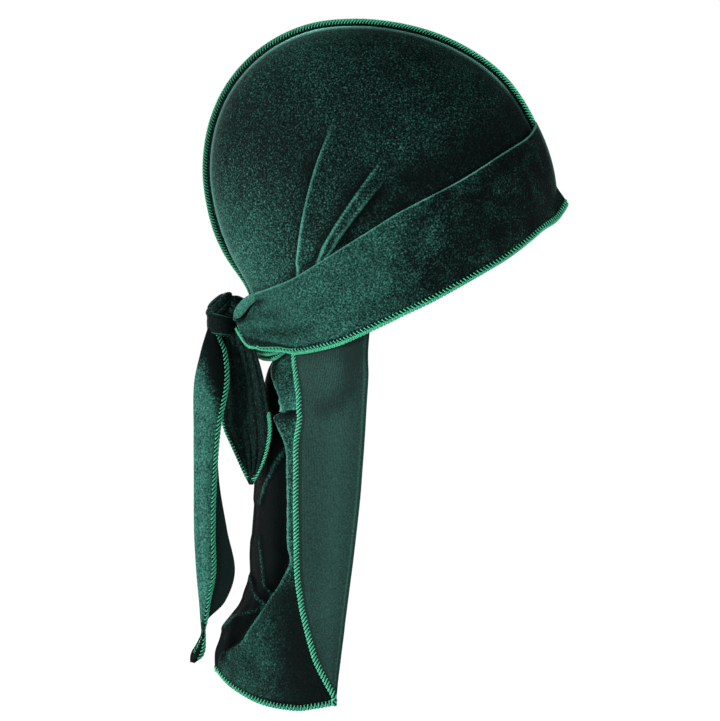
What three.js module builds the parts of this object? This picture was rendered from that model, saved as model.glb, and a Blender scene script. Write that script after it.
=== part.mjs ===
// A velvet durag, tied at the back and held as it is worn. Millimetres, +Z up.
// +X is the wearer's left and -Y is the face side. The origin is where the top of the head
// touches the inside of the crown.
import * as THREE from 'three';
import { mergeVertices } from 'three/addons/utils/BufferGeometryUtils.js';

// Driving dimensions
const WALL = 1.6;             // velvet with its knitted back
const GAP = 0.4;              // air between neighbouring pieces
const HALF_WIDTH = 77;        // outside of the crown, centre plane to side
const FULLNESS = 2.2;         // exponent of the crown's section, 2 being an ellipse
const CENTRE = new THREE.Vector3(0, -14.5, -93);
const CROWN_TUCK = 9;         // degrees that the crown runs down inside the band
const SEAM_HEIGHT = 4.5;      // the serged seam stands outside the crown
const SEAM_THICKNESS = 2.6;
const SEAM_TAPER = 0.7;       // share of its thickness that is left at its outer edge
const SEAM_CLEAR = 0.8;       // between the crown's form and the foot of the seam
const SEAM_START = 24.6;      // degrees up from straight ahead, where the band's fold crosses it
const SEAM_END = 218;
const FOLD_THICKNESS = 2;     // the band's doubled top edge
const FOLD_ROLL = 0.6;        // share of that thickness rounded away at the very top
const BAND_END = 168;         // degrees from the front, where the band enters the knot
const FLAP_RADIUS = 1.6;      // radius of the turned-back edge of the cape
const NAPE_STRAP_RISE = 7;    // degrees that the inner straps run up inside the band

// Facets of each piece: round or across it, and up or along it
const FACETS = {
  panel: { across: 28, along: 14, hidden: 3 },
  seam: { across: 48, along: 1 },
  band: { across: 72, along: 6 },
  napeStrap: { across: 20, along: 2 },
  cape: { flap: 7, turn: 3, drape: 42, along: 13 },
  tailLong: { outer: 4, turn: 3, under: 4, along: 22 },
  tailShort: { across: 10, along: 10 },
  knot: { across: 16, along: 10 },
};
const PANEL_CROWDING = 1.3;   // above 1 the crown's rows lie closer together near the band

// The crown in its centre plane, seen from CENTRE: degrees up from straight ahead and radius.
// Below the band the same form goes on as the head's nape and jaw, which carry the band.
const OUTLINE = [
  { angle: 0, radius: 96.5 },
  { angle: 23, radius: 93.5 },
  { angle: 43, radius: 93 },
  { angle: 63, radius: 91.6 },
  { angle: 83, radius: 92.4 },
  { angle: 99, radius: 95.6 },
  { angle: 115, radius: 100.7 },
  { angle: 130, radius: 103.8 },
  { angle: 144, radius: 104.8 },
  { angle: 157, radius: 103.8 },
  { angle: 173, radius: 101 },
  { angle: 188, radius: 98 },
  { angle: 203, radius: 96.4 },
  { angle: 217, radius: 97 },
  { angle: 226, radius: 105 },
  { angle: 235, radius: 114 },
  { angle: 245, radius: 121 },
  { angle: 257, radius: 127 },
  { angle: 270, radius: 129 },
  { angle: 285, radius: 124 },
  { angle: 300, radius: 115 },
  { angle: 320, radius: 105 },
  { angle: 340, radius: 98.5 },
];

// The band on the right side: degrees round from the front, the heights of its top fold and
// its serged hem as degrees above CENTRE, how far the fold and the rest stand off the crown's
// form, and how far the hem flares out beyond that.
const BAND = [
  { round: 0, top: 23.4, hem: -5.4, topLift: 4.7, lift: 5.7, flare: 6 },
  { round: 10, top: 21.4, hem: -11.6, topLift: 4.2, lift: 4.8, flare: 2.6 },
  { round: 20, top: 18.4, hem: -17, topLift: 3.4, lift: 3.6, flare: 0.6 },
  { round: 40, top: 11.8, hem: -27.6, topLift: 2.9, lift: 2.7, flare: 0 },
  { round: 64, top: -0.6, hem: -39.4, topLift: 2.8, lift: 2.4, flare: 0 },
  { round: 82, top: -10, hem: -46.2, topLift: 2.8, lift: 2.4, flare: 0 },
  { round: 96, top: -18.2, hem: -50.8, topLift: 2.8, lift: 2.4, flare: 0 },
  { round: 112, top: -26.4, hem: -54.4, topLift: 2.8, lift: 2.4, flare: 0 },
  { round: 128, top: -32.8, hem: -56, topLift: 2.8, lift: 2.4, flare: 0 },
  { round: 140, top: -35.4, hem: -55.8, topLift: 2.9, lift: 2.6, flare: 0 },
  { round: 148, top: -36.6, hem: -53.7, topLift: 3, lift: 4.2, flare: 0 },
  { round: 158, top: -37.7, hem: -50.4, topLift: 4, lift: 9.6, flare: 0 },
  { round: 163, top: -38.2, hem: -48.4, topLift: 8, lift: 12.4, flare: 0 },
  { round: 168, top: -40.2, hem: -43, topLift: 16, lift: 14.4, flare: 0 },
];
const BAND_BOW = 1.5;         // how late on its height the band turns from lift to topLift
const BAND_FLARE_SHARE = 0.24;  // share of its height that the flare takes
const BAND_DOUBLED = { from: 0.7, to: 0.83 };  // share of its height where it turns double

// Creases that run along the band: where on its height (0 hem, 1 fold), between which degrees,
// how deep and how wide in shares of the height.
const BAND_CREASES = [
  { at: 0.3, start: 118, end: 166, depth: 1, width: 0.1 },
  { at: 0.62, start: 134, end: 166, depth: 0.8, width: 0.09 },
  { at: 0.8, start: 148, end: 168, depth: 1.2, width: 0.08 },
];

// Columns of each half of the crown, closer together where the pleats are
const PANEL_COLUMNS = [
  { share: 0, round: 0 },
  { share: 0.3, round: 78 },
  { share: 0.72, round: 134 },
  { share: 1, round: 180 },
];

// Tension pleats of the crown above the band: each ridge runs from its upper end down to the
// band, as degrees round and degrees up, with its height and the widths of its two slopes.
const PLEATS = [
  { upRound: 112, up: 24, downRound: 128, down: -34, height: 3.4, front: 13, back: 5 },
  { upRound: 90, up: 15, downRound: 119, down: -30, height: 2.8, front: 11, back: 5 },
  { upRound: 86, up: 3, downRound: 112, down: -27, height: 1.8, front: 8, back: 4 },
];
const PLEAT_FULL = 0.75;      // share of its length at which a pleat has its whole height
const PLEAT_PRESSED = 0.2;    // share of its height that the band's edge leaves it
const PLEAT_FREED = 5;        // degrees above the band where it is whole again

// Two inner turns of the strap that show under the band at the nape. They run from the right
// round the back to the left: the height of each one's hem and how far it stands off the form.
const NAPE_STRAPS = {
  nape_strap_outer: [
    { round: 148, hem: -55.6, lift: 1.1 },
    { round: 160, hem: -56, lift: 6 },
    { round: 170, hem: -53.4, lift: 8 },
    { round: 180, hem: -51, lift: 9.8 },
  ],
  nape_strap_inner: [
    { round: 152, hem: -56.8, lift: 0.4 },
    { round: 161, hem: -58, lift: 3.9 },
    { round: 171, hem: -56.6, lift: 5.7 },
    { round: 180, hem: -54.6, lift: 6.8 },
  ],
};

// The cape in plan at several heights: its front fold, its back, half its breadth and how far
// the edge of the turned-back flap reaches back
const CAPE = [
  { height: -158, front: -6, back: 49, side: 54, flapEdge: 32 },
  { height: -175, front: -5.4, back: 48.6, side: 54, flapEdge: 34 },
  { height: -186, front: -4.6, back: 43.4, side: 53.4, flapEdge: 34.6 },
  { height: -193, front: -4.6, back: 44.4, side: 53, flapEdge: 36.4 },
  { height: -200, front: -4.8, back: 51, side: 53, flapEdge: 36.6 },
  { height: -217, front: -3.8, back: 55.4, side: 52, flapEdge: 33.8 },
  { height: -236, front: -2.7, back: 57, side: 50.5, flapEdge: 36 },
  { height: -272, front: 0.5, back: 58, side: 48, flapEdge: 37.6 },
  { height: -306, front: 4.8, back: 61, side: 45, flapEdge: 36.6 },
  { height: -332, front: 7.9, back: 66, side: 43, flapEdge: 34 },
  { height: -348, front: 9.9, back: 76, side: 41.5, flapEdge: 30.4 },
  { height: -366, front: 12.2, back: 83, side: 40, flapEdge: 24 },
  { height: -385, front: 14, back: 81, side: 38, flapEdge: 15.6 },
];
const CAPE_SQUARENESS = 1.8;  // exponent of the cape's plan curve
const CAPE_TOP = -158;        // the cape's upper edge at its front folds, inside the band
const CAPE_TOP_DIP = 12;      // how much lower that edge lies at the back

// Height of the cape's hem along its width, from the right fold over the back to the left edge
const CAPE_HEM = [
  { along: 0, height: -384 },
  { along: 0.06, height: -390 },
  { along: 0.12, height: -394 },
  { along: 0.24, height: -391.5 },
  { along: 0.37, height: -383 },
  { along: 0.44, height: -377.5 },
  { along: 0.5, height: -375.5 },
  { along: 0.56, height: -377.5 },
  { along: 0.63, height: -383 },
  { along: 0.76, height: -390 },
  { along: 0.9, height: -392 },
  { along: 1, height: -384 },
];

// The long fold of the cape on its right: how far back its ridge lies at each height, as a
// share of the way from the front fold to the back, how far the ridge stands out, and how
// deep the cloth falls in behind it
const CAPE_RIDGE = [
  { height: -197, reach: 0.93, out: 0, fall: 0 },
  { height: -207, reach: 0.92, out: 2.5, fall: 3 },
  { height: -228, reach: 0.87, out: 3.5, fall: 5 },
  { height: -243, reach: 0.76, out: 4, fall: 6 },
  { height: -275, reach: 0.685, out: 4.5, fall: 7 },
  { height: -305, reach: 0.615, out: 5, fall: 8 },
  { height: -321, reach: 0.688, out: 5.5, fall: 8 },
  { height: -346, reach: 0.8, out: 5, fall: 6 },
  { height: -362, reach: 0.858, out: 3, fall: 2 },
  { height: -376, reach: 0.89, out: 1, fall: 0 },
];
const CAPE_RIDGE_GENTLE = 0.09; // shares of the width that its front and back slopes take
const CAPE_RIDGE_STEEP = 0.022;
const CAPE_RIDGE_START = 0.12;  // share of the width over which the ridge fades in
const CAPE_FALL_BEHIND = 0.05;  // how far behind the ridge the cloth lies deepest
const CAPE_FALL_WIDTH = 0.035;

// The cape's softer folds: place along its width at the top and at the hem, how far each
// stands out, and the share of the width that it takes
const CAPE_FOLDS = [
  { top: 0.5, hem: 0.49, out: 1.5, width: 0.025 },
  { top: 0.6, hem: 0.6, out: -4, width: 0.045 },
  { top: 0.7, hem: 0.7, out: 4.5, width: 0.055 },
  { top: 0.82, hem: 0.81, out: -3.5, width: 0.05 },
];
const CAPE_FOLDS_TOP = -198;
const CAPE_FOLDS_FULL = -260;
const CAPE_FOLDS_HEM = -390;

// The long tail, folded lengthwise: at each height how far back its serged edge, its fold and
// the edge of its under layer lie, how far out to the right it hangs, and how deep its fold is
const TAIL_LONG = [
  { height: -178.9, edge: 79.8, fold: 88, under: 79.6, out: 11, depth: 5 },
  { height: -188, edge: 75.8, fold: 90.4, under: 78, out: 18, depth: 6 },
  { height: -206, edge: 74.4, fold: 94, under: 77, out: 24, depth: 6 },
  { height: -232, edge: 79.2, fold: 94.2, under: 80.6, out: 26, depth: 6 },
  { height: -262, edge: 81.6, fold: 94.2, under: 80, out: 25, depth: 6 },
  { height: -292, edge: 82.6, fold: 94.2, under: 75.4, out: 23, depth: 7 },
  { height: -316, edge: 82.4, fold: 93, under: 71, out: 22, depth: 7 },
  { height: -334, edge: 85.6, fold: 91.4, under: 77, out: 20, depth: 5 },
  { height: -349, edge: 87.8, fold: 90.8, under: 88.2, out: 19, depth: 3 },
  { height: -354, edge: 87.6, fold: 91.2, under: 88.4, out: 19, depth: 3 },
  { height: -361, edge: 88.6, fold: 93.6, under: 89.4, out: 19, depth: 3 },
  { height: -370, edge: 93.2, fold: 97, under: 93.8, out: 20, depth: 3 },
];
const TAIL_LONG_CROWN = 1.6;  // how much the outer layer bellies out

// The short tail, one pleated strip that ends in a point: its two edges and its place
const TAIL_SHORT = [
  { height: -178.9, back: 77.4, front: 67, out: 6 },
  { height: -188, back: 78.6, front: 60.6, out: 6 },
  { height: -200, back: 79, front: 55, out: 6 },
  { height: -216, back: 79, front: 51.8, out: 7 },
  { height: -231, back: 78, front: 49.6, out: 9 },
  { height: -244, back: 72.4, front: 51.4, out: 12 },
  { height: -254, back: 67.6, front: 55, out: 16 },
  { height: -265, back: 62.4, front: 60.4, out: 19 },
];
const TAIL_SHORT_SLANT = 0.8; // how much further right it lies for each unit towards the face
const TAIL_SHORT_PLEATS = 3;
const TAIL_SHORT_PLEAT = 1.1; // how far each pleat stands off to both sides
const TAIL_SHORT_FADE = { from: 4, to: 14 };  // breadths between which the pleats open

// Knot: rounded bundles of strap, each with its middle, half sizes, tilt about X in degrees
// and boxiness, the exponent of its section
const KNOT = [
  { name: 'knot_collar', middle: [-1, 78, -171.8], half: [15, 10, 6.4], tilt: 0, boxy: 4 },
  { name: 'knot_lobe_back', middle: [-1, 82.3, -159.3], half: [15, 7.8, 4.2], tilt: -36, boxy: 2.8 },
  { name: 'knot_lobe_front', middle: [-1, 70, -159.6], half: [12, 4.6, 5], tilt: 0, boxy: 2.6 },
];

const COLOURS = { velvet: 0x14443a, shade: 0x0c2a25, thread: 0x23a06a };

const radians = THREE.MathUtils.degToRad;
const degrees = THREE.MathUtils.radToDeg;
const lerp = THREE.MathUtils.lerp;
const smoothstep = THREE.MathUtils.smoothstep;

// Reads one column of a table at a place between its rows, on a smooth curve through them
function read(table, key, column, place) {
  const last = table.length - 1;
  const at = THREE.MathUtils.clamp(place, Math.min(table[0][key], table[last][key]),
    Math.max(table[0][key], table[last][key]));
  const falling = table[last][key] < table[0][key];
  let row = 0;
  while (row < last - 1 && (falling ? table[row + 1][key] > at : table[row + 1][key] < at)) {
    row += 1;
  }
  const slope = (index) => {
    const before = table[Math.max(index - 1, 0)];
    const after = table[Math.min(index + 1, last)];
    return (after[column] - before[column]) / (after[key] - before[key]);
  };
  const from = table[row];
  const to = table[row + 1];
  const span = to[key] - from[key];
  const t = (at - from[key]) / span;
  const cube = t * t * t;
  const square = t * t;
  return (2 * cube - 3 * square + 1) * from[column] + (cube - 2 * square + t) * span * slope(row)
    + (3 * square - 2 * cube) * to[column] + (cube - square) * span * slope(row + 1);
}

// The outline goes once round, so three of its rows are repeated past each end
const ROUND_OUTLINE = [
  ...OUTLINE.slice(-3).map((row) => ({ ...row, angle: row.angle - 360 })),
  ...OUTLINE,
  ...OUTLINE.slice(0, 3).map((row) => ({ ...row, angle: row.angle + 360 })),
];

// Both sides of the band are alike, so a mirrored row goes in front of its first
const SYMMETRIC_BAND = [{ ...BAND[1], round: -BAND[1].round }, ...BAND];

// A unit direction from CENTRE: degrees round from the front towards the right, degrees up
function direction(round, up) {
  const level = Math.cos(radians(up));
  return new THREE.Vector3(
    -level * Math.sin(radians(round)),
    -level * Math.cos(radians(round)),
    Math.sin(radians(up)),
  );
}

// Distance from CENTRE to the outside of the crown's form along a direction
function formRadius(way) {
  const angle = THREE.MathUtils.euclideanModulo(degrees(Math.atan2(way.z, -way.y)), 360);
  const outline = read(ROUND_OUTLINE, 'angle', 'radius', angle);
  const middle = Math.hypot(way.y, way.z) / outline;
  const side = Math.abs(way.x) / HALF_WIDTH;
  return 1 / (middle ** FULLNESS + side ** FULLNESS) ** (1 / FULLNESS);
}

// A point on the crown's form, lifted off it along the direction from CENTRE
function onForm(round, up, lift) {
  const way = direction(round, up);
  return way.multiplyScalar(formRadius(way) + lift).add(CENTRE);
}

// A closed wall of cloth: a box one segment thick whose points are moved by a bending rule.
// The rule takes shares across, along and through the cloth, each from 0 to 1.
function clothWall(across, along, bend) {
  const box = new THREE.BoxGeometry(1, 1, 1, across, along, 1);
  box.deleteAttribute('normal');
  box.deleteAttribute('uv');
  const points = box.attributes.position;
  for (let index = 0; index < points.count; index += 1) {
    const place = bend(points.getX(index) + 0.5, points.getY(index) + 0.5,
      points.getZ(index) + 0.5);
    points.setXYZ(index, place.x, place.y, place.z);
  }
  return closeUp(box);
}

// Merges the shared points, drops faces that have shrunk to a line and turns the rest outward
function closeUp(geometry) {
  const merged = mergeVertices(geometry, 1e-4);
  const points = merged.attributes.position;
  const corner = (index) => new THREE.Vector3().fromBufferAttribute(points, index);
  const faces = [];
  let volume = 0;
  for (let start = 0; start < merged.index.count; start += 3) {
    const face = [0, 1, 2].map((offset) => merged.index.getX(start + offset));
    if (new Set(face).size === 3) {
      faces.push(face);
      volume += corner(face[0]).dot(corner(face[1]).cross(corner(face[2])));
    }
  }
  merged.setIndex(faces.flatMap((face) => (volume < 0 ? [face[0], face[2], face[1]] : face)));
  merged.computeVertexNormals();
  return merged;
}

// A wall of even thickness on both sides of a middle surface
function thickenedSheet(across, along, surface, thickness = WALL) {
  const step = 1e-3;
  return clothWall(across, along, (u, v, through) => {
    const middle = surface(u, v);
    const overU = surface(Math.min(u + step, 1), v).sub(surface(Math.max(u - step, 0), v));
    const overV = surface(u, Math.min(v + step, 1)).sub(surface(u, Math.max(v - step, 0)));
    const normal = overU.cross(overV).normalize();
    return middle.addScaledVector(normal, (through - 0.5) * thickness);
  });
}

// Rises gently to 1 at place 0 and falls away steeply behind it
function ridge(distance, gentle, steep) {
  const width = distance < 0 ? gentle : steep;
  return Math.exp(-((distance / width) ** 2));
}

// How far the pleats push the crown out at a direction. The band presses them flat.
function pleatLift(round, up) {
  const fold = read(SYMMETRIC_BAND, 'round', 'top', round);
  let lift = 0;
  for (const pleat of PLEATS) {
    const run = (pleat.up - up) / (pleat.up - pleat.down);
    const middle = lerp(pleat.upRound, pleat.downRound, run);
    const aside = radians(round - middle) * Math.cos(radians(up)) * HALF_WIDTH;
    lift += pleat.height * smoothstep(run, 0, PLEAT_FULL)
      * ridge(aside, pleat.front, pleat.back);
  }
  return lift * (PLEAT_PRESSED * smoothstep(up, fold - 2, fold + 1)
    + (1 - PLEAT_PRESSED) * smoothstep(up, fold + 1, fold + PLEAT_FREED));
}

// Half of the crown, from the centre seam down to an edge tucked inside the band
function crownPanel(side) {
  const { across, along } = FACETS.panel;
  const hidden = FACETS.panel.hidden / along;
  return clothWall(across, along, (u, v, through) => {
    const round = read(PANEL_COLUMNS, 'share', 'round', u);
    const fold = read(SYMMETRIC_BAND, 'round', 'top', round);
    const up = v <= hidden
      ? lerp(fold - CROWN_TUCK, fold + 1, v / hidden)
      : lerp(fold + 1, 90, ((v - hidden) / (1 - hidden)) ** PANEL_CROWDING);
    const lift = pleatLift(round, up) - (1 - through) * WALL;
    const place = onForm(round, up, lift);
    place.x = (place.x - GAP / 2) * side;
    return place;
  });
}

// The serged seam: both panels' edges stand up together along the crown's centre line
function crownSeam() {
  return clothWall(FACETS.seam.across, FACETS.seam.along, (u, v, through) => {
    const angle = lerp(SEAM_START, SEAM_END, u);
    const way = new THREE.Vector3(0, -Math.cos(radians(angle)), Math.sin(radians(angle)));
    const rise = lerp(SEAM_CLEAR, SEAM_HEIGHT, through);
    const place = way.clone().multiplyScalar(formRadius(way) + rise).add(CENTRE);
    place.x = (v - 0.5) * SEAM_THICKNESS * lerp(1, SEAM_TAPER, through);
    return place;
  });
}

// How far the band's creases are drawn in at a place on it
function creaseDepth(round, share) {
  let depth = 0;
  for (const crease of BAND_CREASES) {
    const run = (round - crease.start) / (crease.end - crease.start);
    const fade = smoothstep(run, 0, 0.3) * (1 - smoothstep(run, 0.85, 1));
    depth += crease.depth * fade * Math.exp(-(((share - crease.at) / crease.width) ** 2));
  }
  return depth;
}

// The strap wrapped over the forehead and down to the knot, with its folded top edge
function wrapBand() {
  return clothWall(FACETS.band.across, FACETS.band.along, (u, v, through) => {
    const round = lerp(-BAND_END, BAND_END, u);
    const turn = Math.abs(round);
    const at = (name) => read(SYMMETRIC_BAND, 'round', name, turn);
    const up = lerp(at('hem'), at('top'), v);
    const lift = lerp(at('lift'), at('topLift'), v ** BAND_BOW)
      + at('flare') * (1 - smoothstep(v, 0, BAND_FLARE_SHARE));
    const doubled = smoothstep(v, BAND_DOUBLED.from, BAND_DOUBLED.to);
    const rolled = v === 1 ? FOLD_ROLL : 0;
    const thickness = lerp(WALL, FOLD_THICKNESS, doubled) * (1 - rolled);
    const outer = lift - creaseDepth(turn, v) - (rolled * FOLD_THICKNESS) / 2;
    return onForm(round, up, outer - (1 - through) * thickness);
  });
}

// An inner turn of the strap at the nape, lower and closer in than the band
function napeStrap(table) {
  return clothWall(FACETS.napeStrap.across, FACETS.napeStrap.along, (u, v, through) => {
    const start = table[0].round;
    const round = lerp(start, 360 - start, u);
    const turn = Math.min(round, 360 - round);
    const hem = read(table, 'round', 'hem', turn);
    const lift = read(table, 'round', 'lift', turn);
    return onForm(round, hem + v * NAPE_STRAP_RISE, lift - (1 - through) * WALL);
  });
}

// A point of the cape's plan curve: share of the way from the right fold over the back to the
// left edge, height, and how far outside the curve
function capePlan(along, height, outward) {
  const front = read(CAPE, 'height', 'front', height);
  const depth = read(CAPE, 'height', 'back', height) - front;
  const side = read(CAPE, 'height', 'side', height);
  const turn = Math.PI * THREE.MathUtils.clamp(along, 0, 1);
  const bend = 2 / CAPE_SQUARENESS;
  const cosine = Math.cos(turn);
  const across = -Math.sign(cosine) * Math.abs(cosine) ** bend;
  const reach = Math.abs(Math.sin(turn)) ** bend;
  const tilt = CAPE_SQUARENESS - 1;
  const normal = new THREE.Vector3(
    (Math.sign(across) * Math.abs(across) ** tilt) / side,
    reach ** tilt / depth,
    0,
  ).normalize();
  return new THREE.Vector3(across * side, front + reach * depth, height)
    .addScaledVector(normal, outward);
}

// Share of the cape's width at which its plan curve has come a given share of the way back
function alongFor(reach) {
  return Math.asin(reach ** (CAPE_SQUARENESS / 2)) / Math.PI;
}

// How far the cape's folds push it out at a place
function capeFoldOut(along, height) {
  const behind = along - alongFor(read(CAPE_RIDGE, 'height', 'reach', height));
  let out = read(CAPE_RIDGE, 'height', 'out', height)
    * ridge(behind, CAPE_RIDGE_GENTLE, CAPE_RIDGE_STEEP) * smoothstep(along, 0, CAPE_RIDGE_START);
  out -= read(CAPE_RIDGE, 'height', 'fall', height)
    * ridge(behind - CAPE_FALL_BEHIND, CAPE_FALL_WIDTH, CAPE_FALL_WIDTH)
    * smoothstep(behind, 0, CAPE_RIDGE_STEEP);
  const opened = 1 - smoothstep(height, CAPE_FOLDS_FULL, CAPE_FOLDS_TOP);
  const drop = (CAPE_FOLDS_TOP - height) / (CAPE_FOLDS_TOP - CAPE_FOLDS_HEM);
  for (const fold of CAPE_FOLDS) {
    const middle = lerp(fold.top, fold.hem, drop);
    out += fold.out * opened * ridge(along - middle, fold.width, fold.width);
  }
  return out;
}

// The cape: its right edge is turned back over it as a flap, then it runs round the nape
function cape() {
  const { flap, turn, drape } = FACETS.cape;
  const columns = flap + turn + drape;
  return thickenedSheet(columns, FACETS.cape.along, (u, v) => {
    const column = u * columns;
    const along = Math.max(column - flap - turn, 0) / drape;
    const upper = CAPE_TOP - CAPE_TOP_DIP * Math.sin(Math.PI * along);
    const height = lerp(read(CAPE_HEM, 'along', 'height', along), upper, v);
    if (column >= flap + turn) {
      return capePlan(along, height, capeFoldOut(along, height));
    }
    const front = read(CAPE, 'height', 'front', height);
    const depth = read(CAPE, 'height', 'back', height) - front;
    if (column > flap) {
      const angle = Math.PI * (1 - (column - flap) / turn);
      const edge = capePlan(0, height, FLAP_RADIUS * (1 - Math.cos(angle)));
      edge.y -= FLAP_RADIUS * Math.sin(angle);
      return edge;
    }
    const reach = (read(CAPE, 'height', 'flapEdge', height) - front) / depth;
    const place = alongFor(Math.max(reach, 0.01)) * (1 - column / flap);
    return capePlan(place, height, 2 * FLAP_RADIUS + capeFoldOut(place, height));
  });
}

// The long tail: an outer layer from the serged edge to the fold, then the layer under it
function tailLong() {
  const { outer, turn, under } = FACETS.tailLong;
  const columns = outer + turn + under;
  return thickenedSheet(columns, FACETS.tailLong.along, (u, v) => {
    const height = lerp(TAIL_LONG[TAIL_LONG.length - 1].height, TAIL_LONG[0].height, v);
    const at = (name) => read(TAIL_LONG, 'height', name, height);
    const radius = at('depth') / 2;
    const bend = at('fold') - radius;
    const column = u * columns;
    if (column <= outer) {
      const share = column / outer;
      const belly = TAIL_LONG_CROWN * Math.sin(Math.PI * share);
      return new THREE.Vector3(-at('out') - belly, lerp(at('edge'), bend, share), height);
    }
    if (column < outer + turn) {
      const angle = (Math.PI * (column - outer)) / turn;
      return new THREE.Vector3(-at('out') + radius * (1 - Math.cos(angle)),
        bend + radius * Math.sin(angle), height);
    }
    const share = (column - outer - turn) / under;
    return new THREE.Vector3(-at('out') + 2 * radius, lerp(bend, at('under'), share), height);
  });
}

// The short tail: a strip with lengthwise pleats that fade out towards its point
function tailShort() {
  return thickenedSheet(FACETS.tailShort.across, FACETS.tailShort.along, (u, v) => {
    const last = TAIL_SHORT[TAIL_SHORT.length - 1].height;
    const height = lerp(last, TAIL_SHORT[0].height, v);
    const at = (name) => read(TAIL_SHORT, 'height', name, height);
    const breadth = at('back') - at('front');
    const pleat = TAIL_SHORT_PLEAT * Math.sin(2 * Math.PI * TAIL_SHORT_PLEATS * u)
      * smoothstep(breadth, TAIL_SHORT_FADE.from, TAIL_SHORT_FADE.to);
    const right = at('out') + TAIL_SHORT_SLANT * u * breadth + pleat;
    return new THREE.Vector3(-right, lerp(at('back'), at('front'), u), height);
  });
}

// A rounded bundle of the knot: a sphere drawn out to its half sizes and squared off
function bundle({ middle, half, tilt, boxy }) {
  const ball = new THREE.SphereGeometry(1, FACETS.knot.across, FACETS.knot.along);
  ball.deleteAttribute('normal');
  ball.deleteAttribute('uv');
  const points = ball.attributes.position;
  const turned = new THREE.Euler(radians(tilt), 0, 0);
  for (let index = 0; index < points.count; index += 1) {
    const point = new THREE.Vector3().fromBufferAttribute(points, index);
    const size = (Math.abs(point.x) ** boxy + Math.abs(point.y) ** boxy
      + Math.abs(point.z) ** boxy) ** (1 / boxy);
    point.divideScalar(size).multiply(new THREE.Vector3(...half)).applyEuler(turned)
      .add(new THREE.Vector3(...middle));
    points.setXYZ(index, point.x, point.y, point.z);
  }
  return closeUp(ball);
}

const material = (name) => new THREE.MeshStandardMaterial({
  color: COLOURS[name],
  roughness: name === 'thread' ? 0.6 : 0.85,
  metalness: 0,
});

function addPiece(group, name, geometry, finish) {
  const mesh = new THREE.Mesh(geometry, material(finish));
  mesh.name = name;
  group.add(mesh);
}

const durag = new THREE.Group();
addPiece(durag, 'crown_panel_right', crownPanel(1), 'velvet');
addPiece(durag, 'crown_panel_left', crownPanel(-1), 'velvet');
addPiece(durag, 'crown_seam', crownSeam(), 'thread');
addPiece(durag, 'wrap_band', wrapBand(), 'velvet');
for (const [name, table] of Object.entries(NAPE_STRAPS)) {
  addPiece(durag, name, napeStrap(table), 'velvet');
}
addPiece(durag, 'cape', cape(), 'velvet');
addPiece(durag, 'tail_long', tailLong(), 'velvet');
addPiece(durag, 'tail_short', tailShort(), 'shade');
for (const part of KNOT) {
  addPiece(durag, part.name, bundle(part), 'shade');
}

export default durag;
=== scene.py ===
"""A velvet durag, tied at the back and held as it is worn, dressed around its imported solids.

Metres, +Z up. +X is the wearer's left and -Y is the face side. The origin is the head seat, where
the top of the head touches the inside of the crown. The laws below work in millimetres from that
seat, and the sheets that they bend are made in metres.
"""
import logging
import math
from dataclasses import dataclass, replace
from enum import Enum
from functools import partial
from typing import Callable, Sequence

import bmesh
import bpy
import numpy as np
from mathutils import Euler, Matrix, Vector


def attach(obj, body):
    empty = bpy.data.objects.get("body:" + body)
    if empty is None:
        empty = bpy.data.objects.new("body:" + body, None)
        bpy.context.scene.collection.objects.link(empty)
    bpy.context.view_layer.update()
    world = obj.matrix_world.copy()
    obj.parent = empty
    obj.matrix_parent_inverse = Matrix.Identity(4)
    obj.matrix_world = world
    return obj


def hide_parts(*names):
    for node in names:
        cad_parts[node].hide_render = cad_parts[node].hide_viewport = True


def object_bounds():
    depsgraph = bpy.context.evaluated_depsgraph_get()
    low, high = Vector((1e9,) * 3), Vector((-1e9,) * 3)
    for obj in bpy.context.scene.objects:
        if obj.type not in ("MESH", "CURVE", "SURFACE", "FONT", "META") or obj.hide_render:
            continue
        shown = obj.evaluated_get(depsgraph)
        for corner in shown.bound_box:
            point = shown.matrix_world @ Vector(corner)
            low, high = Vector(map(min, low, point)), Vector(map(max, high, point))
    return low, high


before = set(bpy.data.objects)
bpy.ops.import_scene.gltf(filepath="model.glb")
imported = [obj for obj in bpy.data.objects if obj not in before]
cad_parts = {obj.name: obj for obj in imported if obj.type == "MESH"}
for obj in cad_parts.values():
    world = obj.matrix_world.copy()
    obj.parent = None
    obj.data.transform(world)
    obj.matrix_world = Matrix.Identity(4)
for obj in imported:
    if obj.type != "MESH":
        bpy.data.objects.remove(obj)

CAD_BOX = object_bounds()
MM = 0.001
BODY = "root"
LOG = logging.getLogger("durag")

Array = np.ndarray
Law = Callable[[Array, Array], Array]
PileAndShade = Callable[[Array, Array], dict[str, Array]]
Pair = tuple[float, float]
Triple = tuple[float, float, float]
Tones = tuple[tuple[float, Triple], ...]

# Painted shade beside the overlock: how much darker the cloth is painted, and between which
# distances from the edge, in millimetres, that fades.
SEWN_SHADE = 1.3
SEWN_FADE = (3.2, 4.6)


class Slot(Enum):
    """The material slots of the record."""

    VELVET = "velvet"
    THREAD = "thread"


class Held(Enum):
    """The ways in which a sheet of this durag is held."""

    STRETCHED = "stretched"
    HUNG = "hung"


# ------------------------------------------------------------------ small mathematics


def lerp(start: Array, end: Array, share: Array) -> Array:
    """Goes from start to end by a share."""
    return start + (end - start) * share


def smoothstep(value: Array, low: float, high: float) -> Array:
    """Rises smoothly from 0 at low to 1 at high."""
    share = np.clip((value - low) / (high - low), 0.0, 1.0)
    return share * share * (3 - 2 * share)


def bell(distance: Array, width: float) -> Array:
    """A bump of height 1 that has nearly gone at twice its width to both sides."""
    return np.exp(-((distance / width) ** 2))


def unit(vectors: Array) -> Array:
    """Scales each row of an array of vectors to length 1."""
    return vectors / np.maximum(np.linalg.norm(vectors, axis=-1, keepdims=True), 1e-12)


def signed_power(value: Array, power: float) -> Array:
    """Raises the size of a value to a power and keeps its sign."""
    return np.sign(value) * np.abs(value) ** power


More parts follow.
